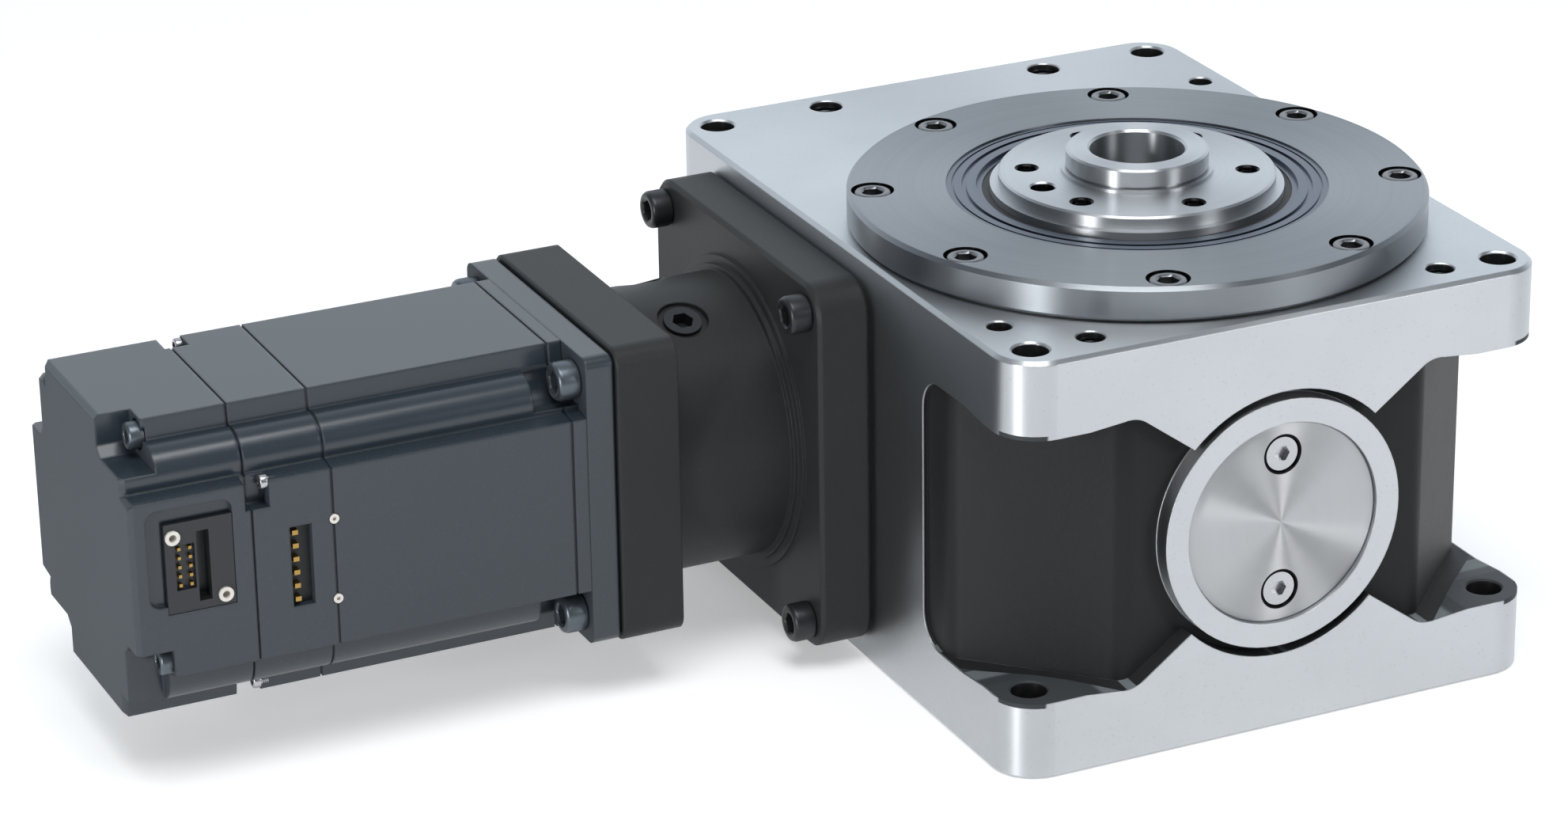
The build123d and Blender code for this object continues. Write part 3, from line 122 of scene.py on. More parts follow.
class Finish:
    """A surface worked out from the object's own coordinates, in millimetres."""

    def __init__(self, name):
        self.material = bpy.data.materials.new(name)
        self.material.use_nodes = True
        self.tree = self.material.node_tree
        self.shader = self.tree.nodes["Principled BSDF"]
        coords = self.node("ShaderNodeTexCoord")
        self.place = self.node("ShaderNodeVectorMath", {"operation": "SCALE"},
                               {0: coords.outputs["Object"], "Scale": 1 / MM}).outputs[0]
        self.x, self.y, self.z = self.parts(self.place)
        face = self.node("ShaderNodeNewGeometry").outputs["True Normal"]
        self.nx, self.ny, self.nz = self.parts(face)

    def node(self, kind, settings=None, sockets=None):
        """A node of any kind: its settings first, then the values or links of its sockets."""
        made = self.tree.nodes.new(kind)
        for key, value in (settings or {}).items():
            setattr(made, key, value)
        for key, value in (sockets or {}).items():
            if isinstance(value, Value):
                value = value.socket
            if isinstance(value, bpy.types.NodeSocket):
                self.tree.links.new(value, made.inputs[key])
            else:
                made.inputs[key].default_value = value
        return made

    def parts(self, vector):
        """A vector's x, y and z as three values."""
        split = self.node("ShaderNodeSeparateXYZ", None, {0: vector})
        return [Value(self.tree, out) for out in split.outputs]

    def point(self, x, y, z):
        """A vector from three values."""
        return self.node("ShaderNodeCombineXYZ", None, {0: x, 1: y, 2: z}).outputs[0]

    def noise(self, size, detail=3.0, rough=0.55, stretch=(1, 1, 1), at=None):
        """Noise from 0 to 1 with features about size mm across, longer where stretch is small."""
        if at is None:
            at = self.node("ShaderNodeVectorMath", {"operation": "MULTIPLY"},
                           {0: self.place, 1: tuple(s / size for s in stretch)}).outputs[0]
        made = self.node("ShaderNodeTexNoise", None,
                         {"Vector": at, "Scale": 1.0, "Detail": detail, "Roughness": rough})
        return Value(self.tree, made.outputs[0])

    def off_axis(self, a, b):
        """Distance from an axis: the square root of a squared plus b squared."""
        return (a * a + b * b).by("SQRT")

    def colour(self, base, *layers):
        """A base colour with further colours laid over it, each by its own amount."""
        below = (*base, 1.0)
        for amount, over in layers:
            below = self.node("ShaderNodeMix", {"data_type": "RGBA"},
                              {"Factor": amount, 6: below, 7: (*over, 1.0)}).outputs[2]
        slot = self.shader.inputs["Base Color"]
        if isinstance(below, tuple):
            slot.default_value = below
        else:
            self.tree.links.new(below, slot)

    def surface(self, **values):
        """Sets the shader's sockets, each to a number, a colour or a worked-out value."""
        for key, value in values.items():
            slot = self.shader.inputs[key.replace("_", " ")]
            if isinstance(value, Value):
                self.tree.links.new(value.socket, slot)
            else:
                slot.default_value = value

    def relief(self, height, depth, edge=0.0):
        """Height from 0 to 1 lifts the surface by up to depth mm.

        Sharp edges shine as if they were rounded by edge mm.
        """
        sockets = {"Distance": depth * MM, "Height": height}
        if edge:
            soft = self.node("ShaderNodeBevel", {"samples": 4}, {"Radius": edge * MM})
            sockets["Normal"] = soft.outputs[0]
        bump = self.node("ShaderNodeBump", None, sockets)
        self.tree.links.new(bump.outputs[0], self.shader.inputs["Normal"])

    def turned(self, axis, amount):
        """Highlights of a lathe-turned face, spread along its radii.

        The shader's own tangent runs round Z, so only another axis needs a node.
        """
        if axis != "Z":
            made = self.node("ShaderNodeTangent", {"direction_type": "RADIAL", "axis": axis})
            self.tree.links.new(made.outputs[0], self.shader.inputs["Tangent"])
        self.surface(Anisotropic=amount, Anisotropic_Rotation=0.25)


def dress(finish, *names):
    """Gives CAD nodes their finished material."""
    for name in names:
        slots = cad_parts[name].data.materials
        slots.clear()
        slots.append(finish.material)


def milled_and_painted():
    """Milled faces by height, depth and width; black paint in the hollows, its edge a little wavy.

    Every mask is a product of steps: 1 inside its region, 0 outside, and drift moves its edge.
    """
    m = Finish("housing_iron")
    drift = (m.noise(1.5) - 0.5) * 0.12
    wide, deep = abs(m.x) + drift, m.y + drift
    height = abs(m.z - MID_HEIGHT) + drift
    level = abs(m.nz).step(0.9, 0.95)
    true_height = abs(m.z - MID_HEIGHT)
    port = m.off_axis(m.x, m.z - MID_HEIGHT)

    clear = MID_HEIGHT - FLANGE
    pad_face = clear - PAD_RISE
    inside = (height.step(clear + 0.1, clear - 0.05) * (1 - level)
              + true_height.step(clear + 0.4, clear + 0.3) * level)
    inside = wide.step(HALF_WIDTH - 0.25, HALF_WIDTH - 0.45) * inside
    front = ((deep * -1).step(-FRONT_Y - 0.2, -FRONT_Y - 0.4)
             * deep.step(POCKET_END_Y + 0.6, POCKET_END_Y + 0.4)
             * port.step(PORT_RING_R + 0.1, PORT_RING_R + 0.25))
    pad = (wide - deep).step(PAD_LINE, PAD_LINE + 0.4) * height.step(pad_face - 0.6, pad_face - 0.3)
    slope = (true_height.step(pad_face + 0.35, pad_face + 0.55) * level
             * abs(m.nz).step(0.9996, 0.9985))
    back = (deep.step(NOTCH_Y, NOTCH_Y + 0.2) * deep.step(REAR_Y - 0.1, REAR_Y - 0.3)
            * wide.step(NOTCH_X, NOTCH_X + 0.2))
    back = back * (1 - height.step(pad_face - 0.8, pad_face - 0.5) * abs(m.nz).step(0.8, 0.9))
    groove = (deep.step(FRONT_Y + 0.15, FRONT_Y + 0.3)
              * port.step(PORT_RING_R + 0.05, PORT_RING_R + 0.2)
              * port.step(GROOVE_R + 0.1, GROOVE_R - 0.1)
              * deep.step(GROOVE_FLOOR_Y + 2.0, GROOVE_FLOOR_Y))
    worn = inside * front * slope
    paint = (inside * front).most(inside * back).most(groove)

    # Painted shade: the corner holes, and the small tapped and dowel holes near the top face, are
    # coloured near black and not metallic.
    bore_shade = m.off_axis(abs(m.x) - CORNER_HOLE_X, abs(m.y - CORNER_HOLE_MID_Y) - CORNER_HOLE_REACH)
    bore_shade = bore_shade.step(CORNER_HOLE_R + 0.02, CORNER_HOLE_R - 0.04)
    bore_shade = bore_shade * true_height.step(MID_HEIGHT - 0.4, MID_HEIGHT - 0.8)
    small = [(abs(m.x) - x, m.y - y, r) for (x, y), r in ((REAR_TAP, 4.5), (LIFT_TAP, 3.65))]
    small += [(m.x - x, m.y - y, 3.22) for x, y in DOWEL_HOLES]
    tap_shade = reduce(Value.most, [m.off_axis(a, b).step(r, r - 0.1) for a, b, r in small])
    bore_shade = bore_shade.most(tap_shade * m.z.step(80.0, 85.0))

    lay_x = m.noise(0.45, 3.0, 0.6, (0.05, 1, 1))
    lay_y = m.noise(0.3, 4.0, 0.7, (1, 1, 0.12))
    cloud = m.noise(28.0, 3.0)
    speck = m.noise(0.8, 2.0, 0.5)
    peel = m.noise(1.1, 4.0, 0.6)
    m.colour((0.54, 0.56, 0.58), ((cloud - 0.35) * 0.6, (0.455, 0.475, 0.5)),
             (speck.step(0.62, 0.8) * 0.35, (0.3, 0.31, 0.33)),
             (paint, (0.0145, 0.0155, 0.0162)), (pad * inside * front, (0.042, 0.048, 0.052)),
             (worn, (0.15, 0.17, 0.18)), (bore_shade, RECESS_SHADE))
    m.surface(Metallic=1 - paint.most(bore_shade), Specular_IOR_Level=0.22,
              Roughness=0.3 + lay_x * 0.1 + cloud * 0.06 + paint * 0.15)
    m.relief((lay_x * 0.6 + lay_y * 0.4) * (1 - paint) * 0.16 + peel * paint, 0.05, 0.4)
    m.turned("Z", 0.75)
    return m


dress(milled_and_painted(), "housing")


# Tapped threads of the housing's top face.
# Two large holes at the back for lifting eyes and two at the front for screws, cut with a tap,
# so helical ridges stand in their upper turns. Their steel is coloured near black: painted
# shade of the deep holes.

def grid_mesh(name, rows, close_rows=False):
    """A mesh from a grid of points, rows x around x 3 in mm, closed round each row.

    An end row whose points all fall together becomes a pole once as_piece has merged it. With
    close_rows the last row also joins the first, as in a ring.
    """
    count, around = rows.shape[:2]
    index = np.arange(count * around).reshape(count, around)
    if close_rows:
        index = np.vstack([index, index[:1]])
    turned_on = np.roll(index, -1, axis=1)
    quads = np.stack([index[:-1], turned_on[:-1], turned_on[1:], index[1:]], axis=-1).reshape(-1, 4)
    mesh = bpy.data.meshes.new(name)
    mesh.from_pydata((rows.reshape(-1, 3) * MM).tolist(), [], quads.tolist())
    return mesh


def as_piece(name, meshes, finish, body):
    """Joins meshes in one object, closes poles, turns faces out and puts the piece on a body.

    Edges of more than 35 degrees stay sharp.
    """
    joined = bmesh.new()
    for mesh in meshes:
        joined.from_mesh(mesh)
        bpy.data.meshes.remove(mesh)
    bmesh.ops.remove_doubles(joined, verts=joined.verts, dist=1e-6)
    bmesh.ops.dissolve_degenerate(joined, edges=joined.edges, dist=1e-7)
    bmesh.ops.recalc_face_normals(joined, faces=joined.faces)
    limit = math.radians(35.0)
    for face in joined.faces:
        face.smooth = True
    for edge in joined.edges:
        edge.smooth = len(edge.link_faces) == 2 and edge.calc_face_angle() < limit
    made = bpy.data.meshes.new(name)
    joined.to_mesh(made)
    joined.free()
    made.materials.append(finish.material)
    piece = bpy.data.objects.new(name, made)
    bpy.context.scene.collection.objects.link(piece)
    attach(piece, body)
    return piece


def ground_steel(name, base, rough, metallic=1.0):
    """Ground, plated or oxidised steel with a faint grain and small, darker stains."""
    m = Finish(name)
    fine = m.noise(0.4, 4.0, 0.7)
    cloud = m.noise(9.0, 3.0)
    m.colour(base, ((cloud - 0.3) * 0.7, tuple(c * 0.75 for c in base)))
    m.surface(Metallic=metallic, Roughness=rough + (fine - 0.5) * 0.12 + (cloud - 0.5) * 0.08)
    m.relief(fine, 0.004)
    return m


def tapped_thread(radius, depth, pitch, x, y, top):
    """Ring whose inner wall is a screw thread.

    Inner radius = hole radius - ridge x triangle wave of (height / pitch - angle / turn), and the
    ridge fades over the first and the last turn. The outer wall stands just behind the hole's.
    """
    around = 48
    ridge = 0.35 * pitch
    angle = np.linspace(0, 2 * math.pi, around, endpoint=False)
    heights = np.arange(0, depth, pitch / 4)
    a, h = np.meshgrid(angle, heights)
    wave = np.abs(((h / pitch - a / (2 * math.pi)) % 1.0) * 2 - 1)
    fade = np.clip(h / pitch, 0, 1) * np.clip((depth - h) / pitch, 0, 1)
    inner = radius + 0.02 - ridge * wave * fade
    wall = np.full_like(inner, radius + 0.05)
    r = np.vstack([inner, wall[::-1]])
    h = np.vstack([h, h[::-1]])
    a = np.vstack([a, a])
    points = np.stack([x + r * np.cos(a), y + r * np.sin(a), top - h], axis=-1)
    return grid_mesh("thread", points, close_rows=True)


FIRST_TURN_Z = 109.1
# Painted shade: the thread steel is near black, as the depth of the holes would look.
shaded_thread_steel = ground_steel("shaded_thread_steel", (0.06, 0.063, 0.068), 0.4)
threads = []
for radius, depth, pitch, (x, y) in ((4.25, 14.0, 1.5, REAR_TAP), (3.4, 11.0, 1.25, LIFT_TAP)):
    threads += [tapped_thread(radius, depth, pitch, side * x, y, FIRST_TURN_Z) for side in (-1, 1)]
as_piece("housing_threads", threads, shaded_thread_steel, "housing_side")


# Round port cover in the front face.
# A turned steel plate with no lettering. Its fine circular tool marks make the light fan
# out from its middle. A rubber ring behind it seals the port.

def turned_steel(name, base, rough, axis="Z", fan=0.5, pitch=0.35, centre=(0.0, 0.0),
                 depth=0.006, dark=0.85, shaded_mouths=(), mouth_shade_r=0.0):
    """Lathe-turned metal: tool marks are noise read along the distance from the axis.

    Painted shade, a near-black colour, fills a circle of the given radius round each given screw
    mouth.
    """
    m = Finish(name)
    a, b, along = {"Z": (m.x, m.y, m.z), "Y": (m.x, m.z, m.y), "X": (m.y, m.z, m.x)}[axis]
    radius = m.off_axis(a - centre[0], b - centre[1])
    marks = m.noise(1.0, 4.0, 0.65, at=m.point(radius / pitch, along / pitch, 0.0))
    broad = m.noise(1.0, 2.0, 0.5, at=m.point(radius / 4.0, along / 6.0, 3.0))
    cloud = m.noise(24.0, 3.0)
    layers = [(marks * 0.6 + cloud * 0.4, tuple(c * dark for c in base))]
    mouth_shade = [m.off_axis(a - p, b - q).step(mouth_shade_r, mouth_shade_r - 0.06) for p, q in shaded_mouths]
    if mouth_shade:
        layers.append((reduce(Value.most, mouth_shade), RECESS_SHADE))
    m.colour(base, *layers)
    m.surface(Metallic=1.0, Roughness=rough + (marks - 0.5) * 0.1 + (broad - 0.5) * 0.06)
    m.relief(marks * 0.7 + broad * 0.3, depth)
    m.turned(axis, fan)
    return m


def soft_skin(name, base, rough):
    """Rubber or moulded plastic with a fine matt skin."""
    m = Finish(name)
    skin = m.noise(0.6, 4.0, 0.6)
    cloud = m.noise(12.0, 2.0)
    m.colour(base, (cloud * 0.5, tuple(c * 1.4 + 0.002 for c in base)))
    m.surface(Roughness=rough + (skin - 0.5) * 0.15)
    m.relief(skin, 0.02)
    return m


PORT_SCREW_Z = (MID_HEIGHT - 18.2, MID_HEIGHT + 18.2)
# Painted shade darkens a wide ring round each of the two screw mouths.
dress(turned_steel("port_steel", (0.52, 0.525, 0.535), 0.4, "Y", fan=1.0, pitch=0.22,
                   centre=(0.0, MID_HEIGHT), depth=0.003, dark=0.9,
                   shaded_mouths=[(0.0, z) for z in PORT_SCREW_Z], mouth_shade_r=5.35), "port_cover")
seal_rubber = soft_skin("seal_rubber", (0.012, 0.012, 0.013), 0.55)
dress(seal_rubber, "port_seal_ring")


# Two countersunk screws of the port cover.
# Bright plated steel, sunk in wide mouths, each with a deep hexagon socket.

plated_steel = ground_steel("plated_steel", (0.5, 0.505, 0.52), 0.27)
dress(plated_steel, "port_cover_screws")


# Bearing cover.
# The large turned disc on the top face. It is darker than the housing, and its tool marks are
# coarse enough to be seen.

def on_circle(radius, count, phase):
    """Places evenly spaced on a circle, the first at phase degrees: radius x (cosine, sine)."""
    angles = [math.radians(phase + 360 / count * i) for i in range(count)]
    return [(radius * math.cos(angle), radius * math.sin(angle)) for angle in angles]


COVER_RING = (67.35, 8, 22.5)
# Painted shade darkens each of the eight counterbores.
dress(turned_steel("cover_steel", (0.27, 0.29, 0.31), 0.36, fan=0.85, pitch=0.5, dark=0.8,
                   shaded_mouths=on_circle(*COVER_RING), mouth_shade_r=5.56), "bearing_cover")


# Cap screws of the bearing cover.
# Eight M6 socket head screws in counterbores: knurled heads, hexagon sockets, rolled threads.

def cap_screw(length, shank_r, head_r, head_h, socket, pitch):
    """Grid of one cap screw about Z, with the seat of its head at height 0, in mm.

    Each row is a circle of radius r(angle). On the shank, r falls from the outer radius by the
    thread's height x triangle wave of (height / pitch - angle / turn). On the head's side every
    second point stands back, which makes the knurl. In the socket, r is the distance to a
    hexagon's side: half its width / cos(angle from the middle of that side).
    """
    around = 96
    angle = np.linspace(0, 2 * math.pi, around, endpoint=False)
    hexagon = (socket / 2) / np.cos((angle + math.pi / 6) % (math.pi / 3) - math.pi / 6)
    one = np.ones(around)
    knurl = np.where(np.arange(around) % 2, 0.0, 0.022 * head_r)
    rows = [(0 * one, -length), ((shank_r - 0.5 * pitch) * one, -length)]
    for height in np.arange(-length + 0.4 * pitch, -0.8 * pitch, pitch / 4):
        wave = np.abs(((height / pitch - angle / (2 * math.pi)) % 1.0) * 2 - 1)
        fade = min(1.0, (height + length) / pitch)
        rows.append((shank_r - 0.01 - 0.55 * pitch * (1 - wave * fade), height))
    rows += [((shank_r - 0.01) * one, -0.5 * pitch), ((shank_r - 0.01) * one, 0.0)]
    edge = 0.1 * head_h
    rim = head_r * one - 0.02 * head_r
    rows += [((head_r - edge) * one, 0.0), (rim, edge * 0.8),
             (head_r - knurl, edge * 1.4), (head_r - knurl, head_h - 1.9 * edge),
             (rim, head_h - 1.4 * edge), ((head_r - 0.7 * edge) * one, head_h - 0.4 * edge),
             ((head_r - 1.4 * edge) * one, head_h)]
    mouth = socket * 0.5 / math.cos(math.pi / 6) + 0.06 * socket
    rows += [((mouth + 0.03) * one, head_h), (mouth * one, head_h - 0.01)]
    rows += [(hexagon, head_h - 0.1 * socket), (hexagon, 0.45 * head_h),
             (hexagon * 0.6, 0.42 * head_h), (0 * one, 0.3 * head_h)]
    r = np.array([row[0] for row in rows])
    z = np.array([row[1] * one for row in rows])
    return np.stack([r * np.cos(angle), r * np.sin(angle), z], axis=-1)


def placed(grid, turn, move):
    """The grid turned by a 3 x 3 matrix and then moved, in mm."""
    return grid @ np.array(turn).T + np.array(move)


def about(axis, degrees):
    """The 3 x 3 matrix of a turn about one axis."""
    return np.array(Matrix.Rotation(math.radians(degrees), 3, axis))


def ring_of_screws(name, grid, ring, base, turn, finish, node, in_cad=True):
    """Copies of a screw on a ring (radius, count, phase) about Z, then turned and set at a base.

    Each is turned 13 degrees more about itself than the last. They ride on the housing, and with
    in_cad they stand in for the node's own screws.
    """
    radius, count, phase = ring
    meshes = []
    for i in range(count):
        swing = about("Z", phase + 360 * i / count)
        copy = placed(placed(grid, about("Z", 13.0 * i), (radius, 0, 0)), swing, (0, 0, 0))
        meshes.append(grid_mesh(name, placed(copy, turn, base)))
    piece = as_piece(name, meshes, finish, "housing_side")
    if in_cad:
        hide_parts(node)


# Radii of shank and head, head height, socket width and pitch.
M6 = (3.0, 5.0, 6.0, 5.0, 1.0)
UPRIGHT = np.eye(3)
COVER_SEAT, COVER_FOOT, COVER_GRIP = 113.9, 111.1, 13.0
cover_screw = cap_screw(COVER_SEAT - COVER_FOOT + COVER_GRIP, *M6)
dark_steel = ground_steel("cover_screw_steel", (0.2, 0.205, 0.215), 0.3)
ring_of_screws("cover_screw_set", cover_screw, COVER_RING, (0, 0, COVER_SEAT), UPRIGHT,
               dark_steel, "cover_screws")


# Output seal.
# A stepped ring of blue-grey alloy is pressed in the cover, and a rubber lip runs on the hub.

dress(turned_steel("seal_alloy", (0.12, 0.14, 0.175), 0.3, fan=0.4, pitch=0.6), "output_seal_ring")
dress(seal_rubber, "output_seal_lip")


# Crossed-roller bearing of the output.
# Ground bearing steel: outer ring in the housing, inner ring on the turret, rollers between.

bearing_steel = ground_steel("bearing_steel", (0.62, 0.625, 0.635), 0.16)
dress(bearing_steel, "output_bearing_outer", "output_bearing_inner", "output_bearing_rollers")


# Turret and centre sleeve.
# The output shaft with its hub face and six tapped holes, and the sleeve whose bright ring
# stands in the middle as a pilot. Both are turned from steel and left bare.

HUB_FIRST_TURN_Z = 122.55
HUB_DOWEL = (-27.49, -0.72)
hub_taps = on_circle(28.0, 6, 31.5)
# Painted shade darkens the mouths of the six tapped holes and of the dowel hole. The threads in the
# tapped holes are near black, also painted shade.
dress(turned_steel("hub_steel", (0.52, 0.54, 0.56), 0.34, fan=0.9, pitch=0.3,
                   shaded_mouths=[*hub_taps, HUB_DOWEL], mouth_shade_r=3.15), "turret", "centre_sleeve")
hub_threads = [tapped_thread(2.5, 10.0, 1.0, x, y, HUB_FIRST_TURN_Z) for x, y in hub_taps]
as_piece("hub_threads", hub_threads, shaded_thread_steel, "output")


# Locknut and retaining ring of the turret.
# Plain ground steel rings that hold the two bearings' inner rings.

shaft_steel = ground_steel("shaft_steel", (0.5, 0.505, 0.515), 0.28)
dress(shaft_steel, "bearing_locknut", "lower_retaining_ring")


# Cam followers.
# Twelve hardened rollers on studs pressed in the turret's drum.

dress(shaft_steel, "follower_studs")
dress(bearing_steel, "follower_rollers")


# Cam.
# A hollow-waisted screw, ground in one piece with the input shaft.

dress(shaft_steel, "cam_shaft")


# Input bearings, their carriers and the seal.
# Ball bearings each side of the cam sit in machined iron sleeves.

bored_iron = ground_steel("bored_iron", (0.22, 0.22, 0.23), 0.42)
dress(bearing_steel, "input_bearing_outers", "input_bearing_inners", "input_bearing_balls")
dress(bored_iron, "carrier_motor_side", "carrier_far_side")
dress(seal_rubber, "input_seal")


# End cover on the far side.
# A turned disc over the far bore, held by six M4 cap screws.

INPUT_AXIS = (0.0, 51.2, MID_HEIGHT)
dress(turned_steel("end_cover_steel", (0.3, 0.31, 0.325), 0.34, "X", fan=0.4, pitch=0.5,
                   centre=INPUT_AXIS[1:]), "end_cover")
M4_HEAD = 4.0
M4 = (2.0, 3.5, M4_HEAD, 3.0, 0.7)
TO_INPUT = about("Y", 90.0)
END_COVER_X, SUNK = 81.0, 0.2
end_screw = placed(cap_screw(11.0, *M4), UPRIGHT, (0, 0, END_COVER_X - M4_HEAD - SUNK))
ring_of_screws("end_cover_screw_set", end_screw, (37.0, 6, 30.0), INPUT_AXIS, TO_INPUT,
               dark_steel, "end_cover_screws")


# Lower bearing, bottom cover and its seal.
# A ball bearing carries the turret's foot. The turned cover under it has six M4 cap screws.

dress(bearing_steel, "lower_bearing_outer", "lower_bearing_inner", "lower_bearing_balls")
dress(turned_steel("bottom_cover_steel", (0.3, 0.31, 0.325), 0.36, fan=0.4, pitch=0.5),
      "bottom_cover")
dress(seal_rubber, "bottom_seal")
FLIP = about("X", 180.0)
bottom_screw = placed(cap_screw(9.0, *M4), FLIP, (0, 0, M4_HEAD + SUNK))
ring_of_screws("bottom_cover_screw_set", bottom_screw, (39.5, 6, 0.0), (0, 0, 0), UPRIGHT,
               dark_steel, "bottom_cover_screws")


# Gasket and motor adapter.
# A thin dark gasket, then one alloy casting: square plate, round neck and square flange, all
# machined and anodised black, with a slightly gritty face and worn edges.

def black_anodised(name, base, rough, grain, depth, worn, gleam, edge, dull_ends=0.0):
    """Dark anodised alloy: fine grit in colour, gloss and height, with cloudy patches.

    The grit has grains of grain mm and stands depth mm high. Cloudy patches are paler by worn,
    gleam is the specular level, and faces square to X are rougher by dull_ends.
    """
    m = Finish(name)
    grit = m.noise(grain, 4.0, 0.65)
    cloud = m.noise(30.0, 3.0)
    m.colour(base, ((cloud - 0.3) * 0.8, tuple(c + worn for c in base)),
             (grit.step(0.55, 0.75) * 0.5, tuple(c * 1.8 for c in base)))
    gloss = rough + (grit - 0.5) * 0.14 + (cloud - 0.5) * 0.06
    if dull_ends:
        gloss = gloss + abs(m.nx).step(0.9, 0.97) * dull_ends
    m.surface(Roughness=gloss, Specular_IOR_Level=gleam)
    m.relief(grit, depth, edge)
    return m


dress(soft_skin("gasket_paper", (0.012, 0.012, 0.012), 0.7), "adapter_gasket")
dress(black_anodised("adapter_alloy", (0.023, 0.0247, 0.0258), 0.46, grain=0.7, depth=0.035,
                     worn=0.006, gleam=0.2, edge=0.7), "adapter_housing")
PLATE_X = -89.5
black_oxide = ground_steel("black_oxide", (0.03, 0.032, 0.036), 0.36, metallic=0.5)
plate_screw = placed(cap_screw(27.5, *M6), FLIP, (0, 0, PLATE_X))
ring_of_screws("adapter_screw_set", plate_screw, (60.0, 4, 45.0), INPUT_AXIS, TO_INPUT,
               black_oxide, "adapter_screws")
dress(black_oxide, "access_plugs")


# Coupling.
# Two clamp hubs of bare alloy and a soft red spider join the cam's shaft to the motor's.

dress(ground_steel("coupling_alloy", (0.55, 0.555, 0.57), 0.35),
      "coupling_hub_cam", "coupling_hub_motor")
dress(soft_skin("spider_rubber", (0.4, 0.03, 0.025), 0.45), "coupling_spider")
dress(dark_steel, "coupling_clamp_screws")


# Motor front flange and frame.
# Cast alloy, satin black with a blue cast, duller on its end faces. The frame's four long
# edges are scalloped, and its screws stand in the scallops.

motor_coat = black_anodised("motor_coat", (0.022, 0.031, 0.041), 0.23, grain=0.5, depth=0.008,
                            worn=0.006, gleam=0.6, edge=0.9, dull_ends=0.45)
dress(motor_coat, "motor_front_flange", "motor_frame")
MOTOR_FLANGE_X = -148.25
motor_screw = placed(cap_screw(19.0, *M6), FLIP, (0, 0, MOTOR_FLANGE_X))
blued_steel = ground_steel("blued_steel", (0.11, 0.13, 0.15), 0.32, metallic=0.7)
ring_of_screws("motor_screw_set", motor_screw, (45.0, 4, 45.0), INPUT_AXIS, TO_INPUT,
               blued_steel, "motor_screws")


# Seam screws of the motor.
# Four small screws hold the encoder end to the frame, one in each notch of the seam.

SEAM_SEAT_X = -232.0
M2_5 = (1.3, 1.9, 2.0, 1.7, 0.5)
seam_screw = placed(cap_screw(2.5, *M2_5), FLIP, (0, 0, SEAM_SEAT_X))
ring_of_screws("seam_screw_set", seam_screw, (43.24, 4, 58.3), INPUT_AXIS, TO_INPUT,
               plated_steel, "encoder_cover_screws", in_cad=False)


# Power socket.
# A black contact block with six gold-plated blades, between two small bright screws.

black_plastic = soft_skin("black_plastic", (0.004, 0.0042, 0.005), 0.5)
gold_plate = ground_steel("gold_plate", (0.42, 0.27, 0.08), 0.3)
dress(black_plastic, "power_socket")
dress(gold_plate, "power_pins")
dress(ground_steel("standoff_steel", (0.72, 0.68, 0.63), 0.25, metallic=0.45), "connector_screws")


# Stator.
# A laminated iron core with copper end turns set in resin.

dress(ground_steel("core_iron", (0.2, 0.2, 0.21), 0.45), "stator_core")
dress(ground_steel("winding_copper", (0.6, 0.24, 0.09), 0.35), "stator_windings")


# Rotor and the motor's bearings.
# A ground shaft with a magnet ring, between two ball bearings, the rear one in a bracket.

dress(shaft_steel, "rotor_shaft")
dress(ground_steel("magnet_metal", (0.12, 0.12, 0.13), 0.3), "rotor_magnets")
dress(bearing_steel, "motor_bearing_outers", "motor_bearing_inners", "motor_bearing_balls")
dress(bored_iron, "rear_bearing_bracket")


# Encoder cover, its screws and socket.
# A cast cap on the motor's end with the same satin coat. Its four M4 screws stand in corner
# openings, and its socket lies in a shallow tray.

dress(motor_coat, "encoder_cover")
REAR_SEAT_X = -257.55
rear_screw = placed(cap_screw(30.8, *M4), FLIP, (0, 0, REAR_SEAT_X))
ring_of_screws("encoder_cover_screw_set", rear_screw, (39.8, 4, 31.3), INPUT_AXIS, TO_INPUT,
               blued_steel, "encoder_cover_screws")
dress(black_anodised("socket_plastic", (0.013, 0.015, 0.018), 0.34, grain=0.4, depth=0.008,
                     worn=0.004, gleam=0.5, edge=0.3), "encoder_socket")
dress(gold_plate, "encoder_pins")


# Encoder disc and board inside the cap.
# A glass disc on the shaft and a green printed board that sits in the cap's bore.

dress(ground_steel("encoder_glass", (0.3, 0.33, 0.35), 0.1), "encoder_disc")
dress(soft_skin("board_green", (0.02, 0.14, 0.05), 0.45), "encoder_board")


# Studio.
# A floor of pale paper, which metal mirrors as the camera sees it, a plain world that is
# brighter behind the machine, and three soft lamps.

def soft_lamp(name, place, aim, size, power):
    """A flat lamp at one place that faces another, both in metres, with its power in watts."""
    lamp = bpy.data.lights.new(name, "AREA")
    lamp.shape = "RECTANGLE"
    lamp.size, lamp.size_y = size
    lamp.energy = power
    holder = bpy.data.objects.new(name, lamp)
    bpy.context.scene.collection.objects.link(holder)
    holder.location = place
    holder.rotation_euler = (Vector(aim) - Vector(place)).to_track_quat("-Z", "Y").to_euler()


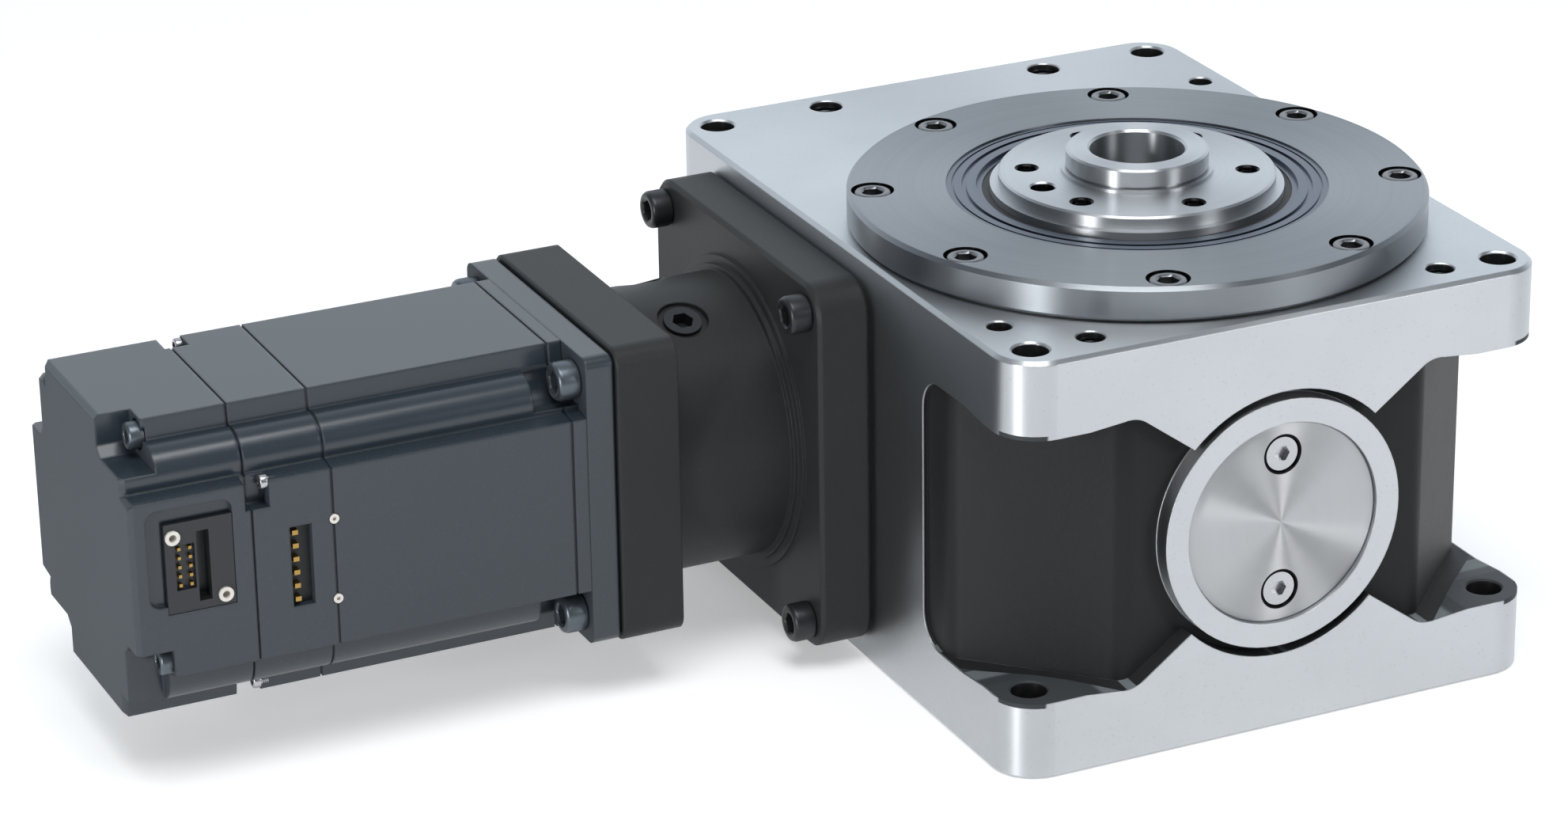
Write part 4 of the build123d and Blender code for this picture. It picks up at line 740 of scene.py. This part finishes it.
FLOOR_REACH, FLOOR_Z = 6.0, -0.2 * MM
floor_mesh = bpy.data.meshes.new("floor")
floor_corners = [(x * FLOOR_REACH, y * FLOOR_REACH, 0)
                 for x, y in ((-1, -1), (1, -1), (1, 1), (-1, 1))]
floor_mesh.from_pydata(floor_corners, [], [(0, 1, 2, 3)])
floor = bpy.data.objects.new("floor", floor_mesh)
bpy.context.scene.collection.objects.link(floor)
floor.location.z = FLOOR_Z
paper = Finish("floor_paper")
paper.colour((0.8, 0.805, 0.81))
paper.surface(Roughness=0.9, Specular_IOR_Level=0.1)
rays = paper.node("ShaderNodeLightPath").outputs
seen = reduce(Value.most, [Value(paper.tree, rays[kind])
                           for kind in ("Is Camera Ray", "Is Glossy Ray", "Is Transmission Ray")])
paper.surface(Emission_Color=(1.0, 1.0, 1.0, 1.0), Emission_Strength=seen * 0.35)
floor_mesh.materials.append(paper.material)

world = bpy.data.worlds.new("studio")
bpy.context.scene.world = world
world.use_nodes = True
sky = world.node_tree
direction = sky.nodes.new("ShaderNodeSeparateXYZ")
sky.links.new(sky.nodes.new("ShaderNodeTexCoord").outputs["Generated"], direction.inputs[0])
east, north, up = (Value(sky, out) for out in direction.outputs)
behind = (east * 0.42 + north * 0.91).step(0.15, 0.85)
glow = 0.17 + behind * 0.95 + up.step(0.35, 1.0) * 0.2
sky.links.new(glow.socket, sky.nodes["Background"].inputs["Strength"])
sky.nodes["Background"].inputs["Color"].default_value = (0.9, 0.97, 1.04, 1)
soft_lamp("key_top", (-0.25, -0.5, 1.5), (0, 0, 0.08), (1.0, 0.8), 15)
soft_lamp("fill_front", (0.9, -1.4, 0.7), (0.0, 0, 0.06), (0.45, 0.45), 5)
soft_lamp("strip_left", (-1.15, -0.5, 0.25), (-0.07, -0.07, 0.05), (0.2, 0.45), 6)


# Camera.
# The photograph's own, found by fitting the housing's straight edges.

CAMERA_PLACE = (-0.59752, -1.06703, 0.57192)
turn, rise, roll = (math.radians(angle) for angle in (-24.9985, 22.8449, -0.8891))
back = Vector((math.sin(turn) * math.cos(rise), -math.cos(turn) * math.cos(rise), math.sin(rise)))
level = (-back).cross(Vector((0, 0, 1))).normalized()
upward = level.cross(-back)
side = math.cos(roll) * level + math.sin(roll) * upward
top = -math.sin(roll) * level + math.cos(roll) * upward
lens = bpy.data.cameras.new("camera")
lens.sensor_width = 36.0
lens.lens = 117.28
lens.clip_start, lens.clip_end = 0.05, 30
camera = bpy.data.objects.new("camera", lens)
bpy.context.scene.collection.objects.link(camera)
facing = Matrix((side, top, back)).transposed().to_4x4()
camera.matrix_world = Matrix.Translation(CAMERA_PLACE) @ facing
bpy.context.scene.camera = camera
bpy.context.scene.view_settings.view_transform = "Standard"
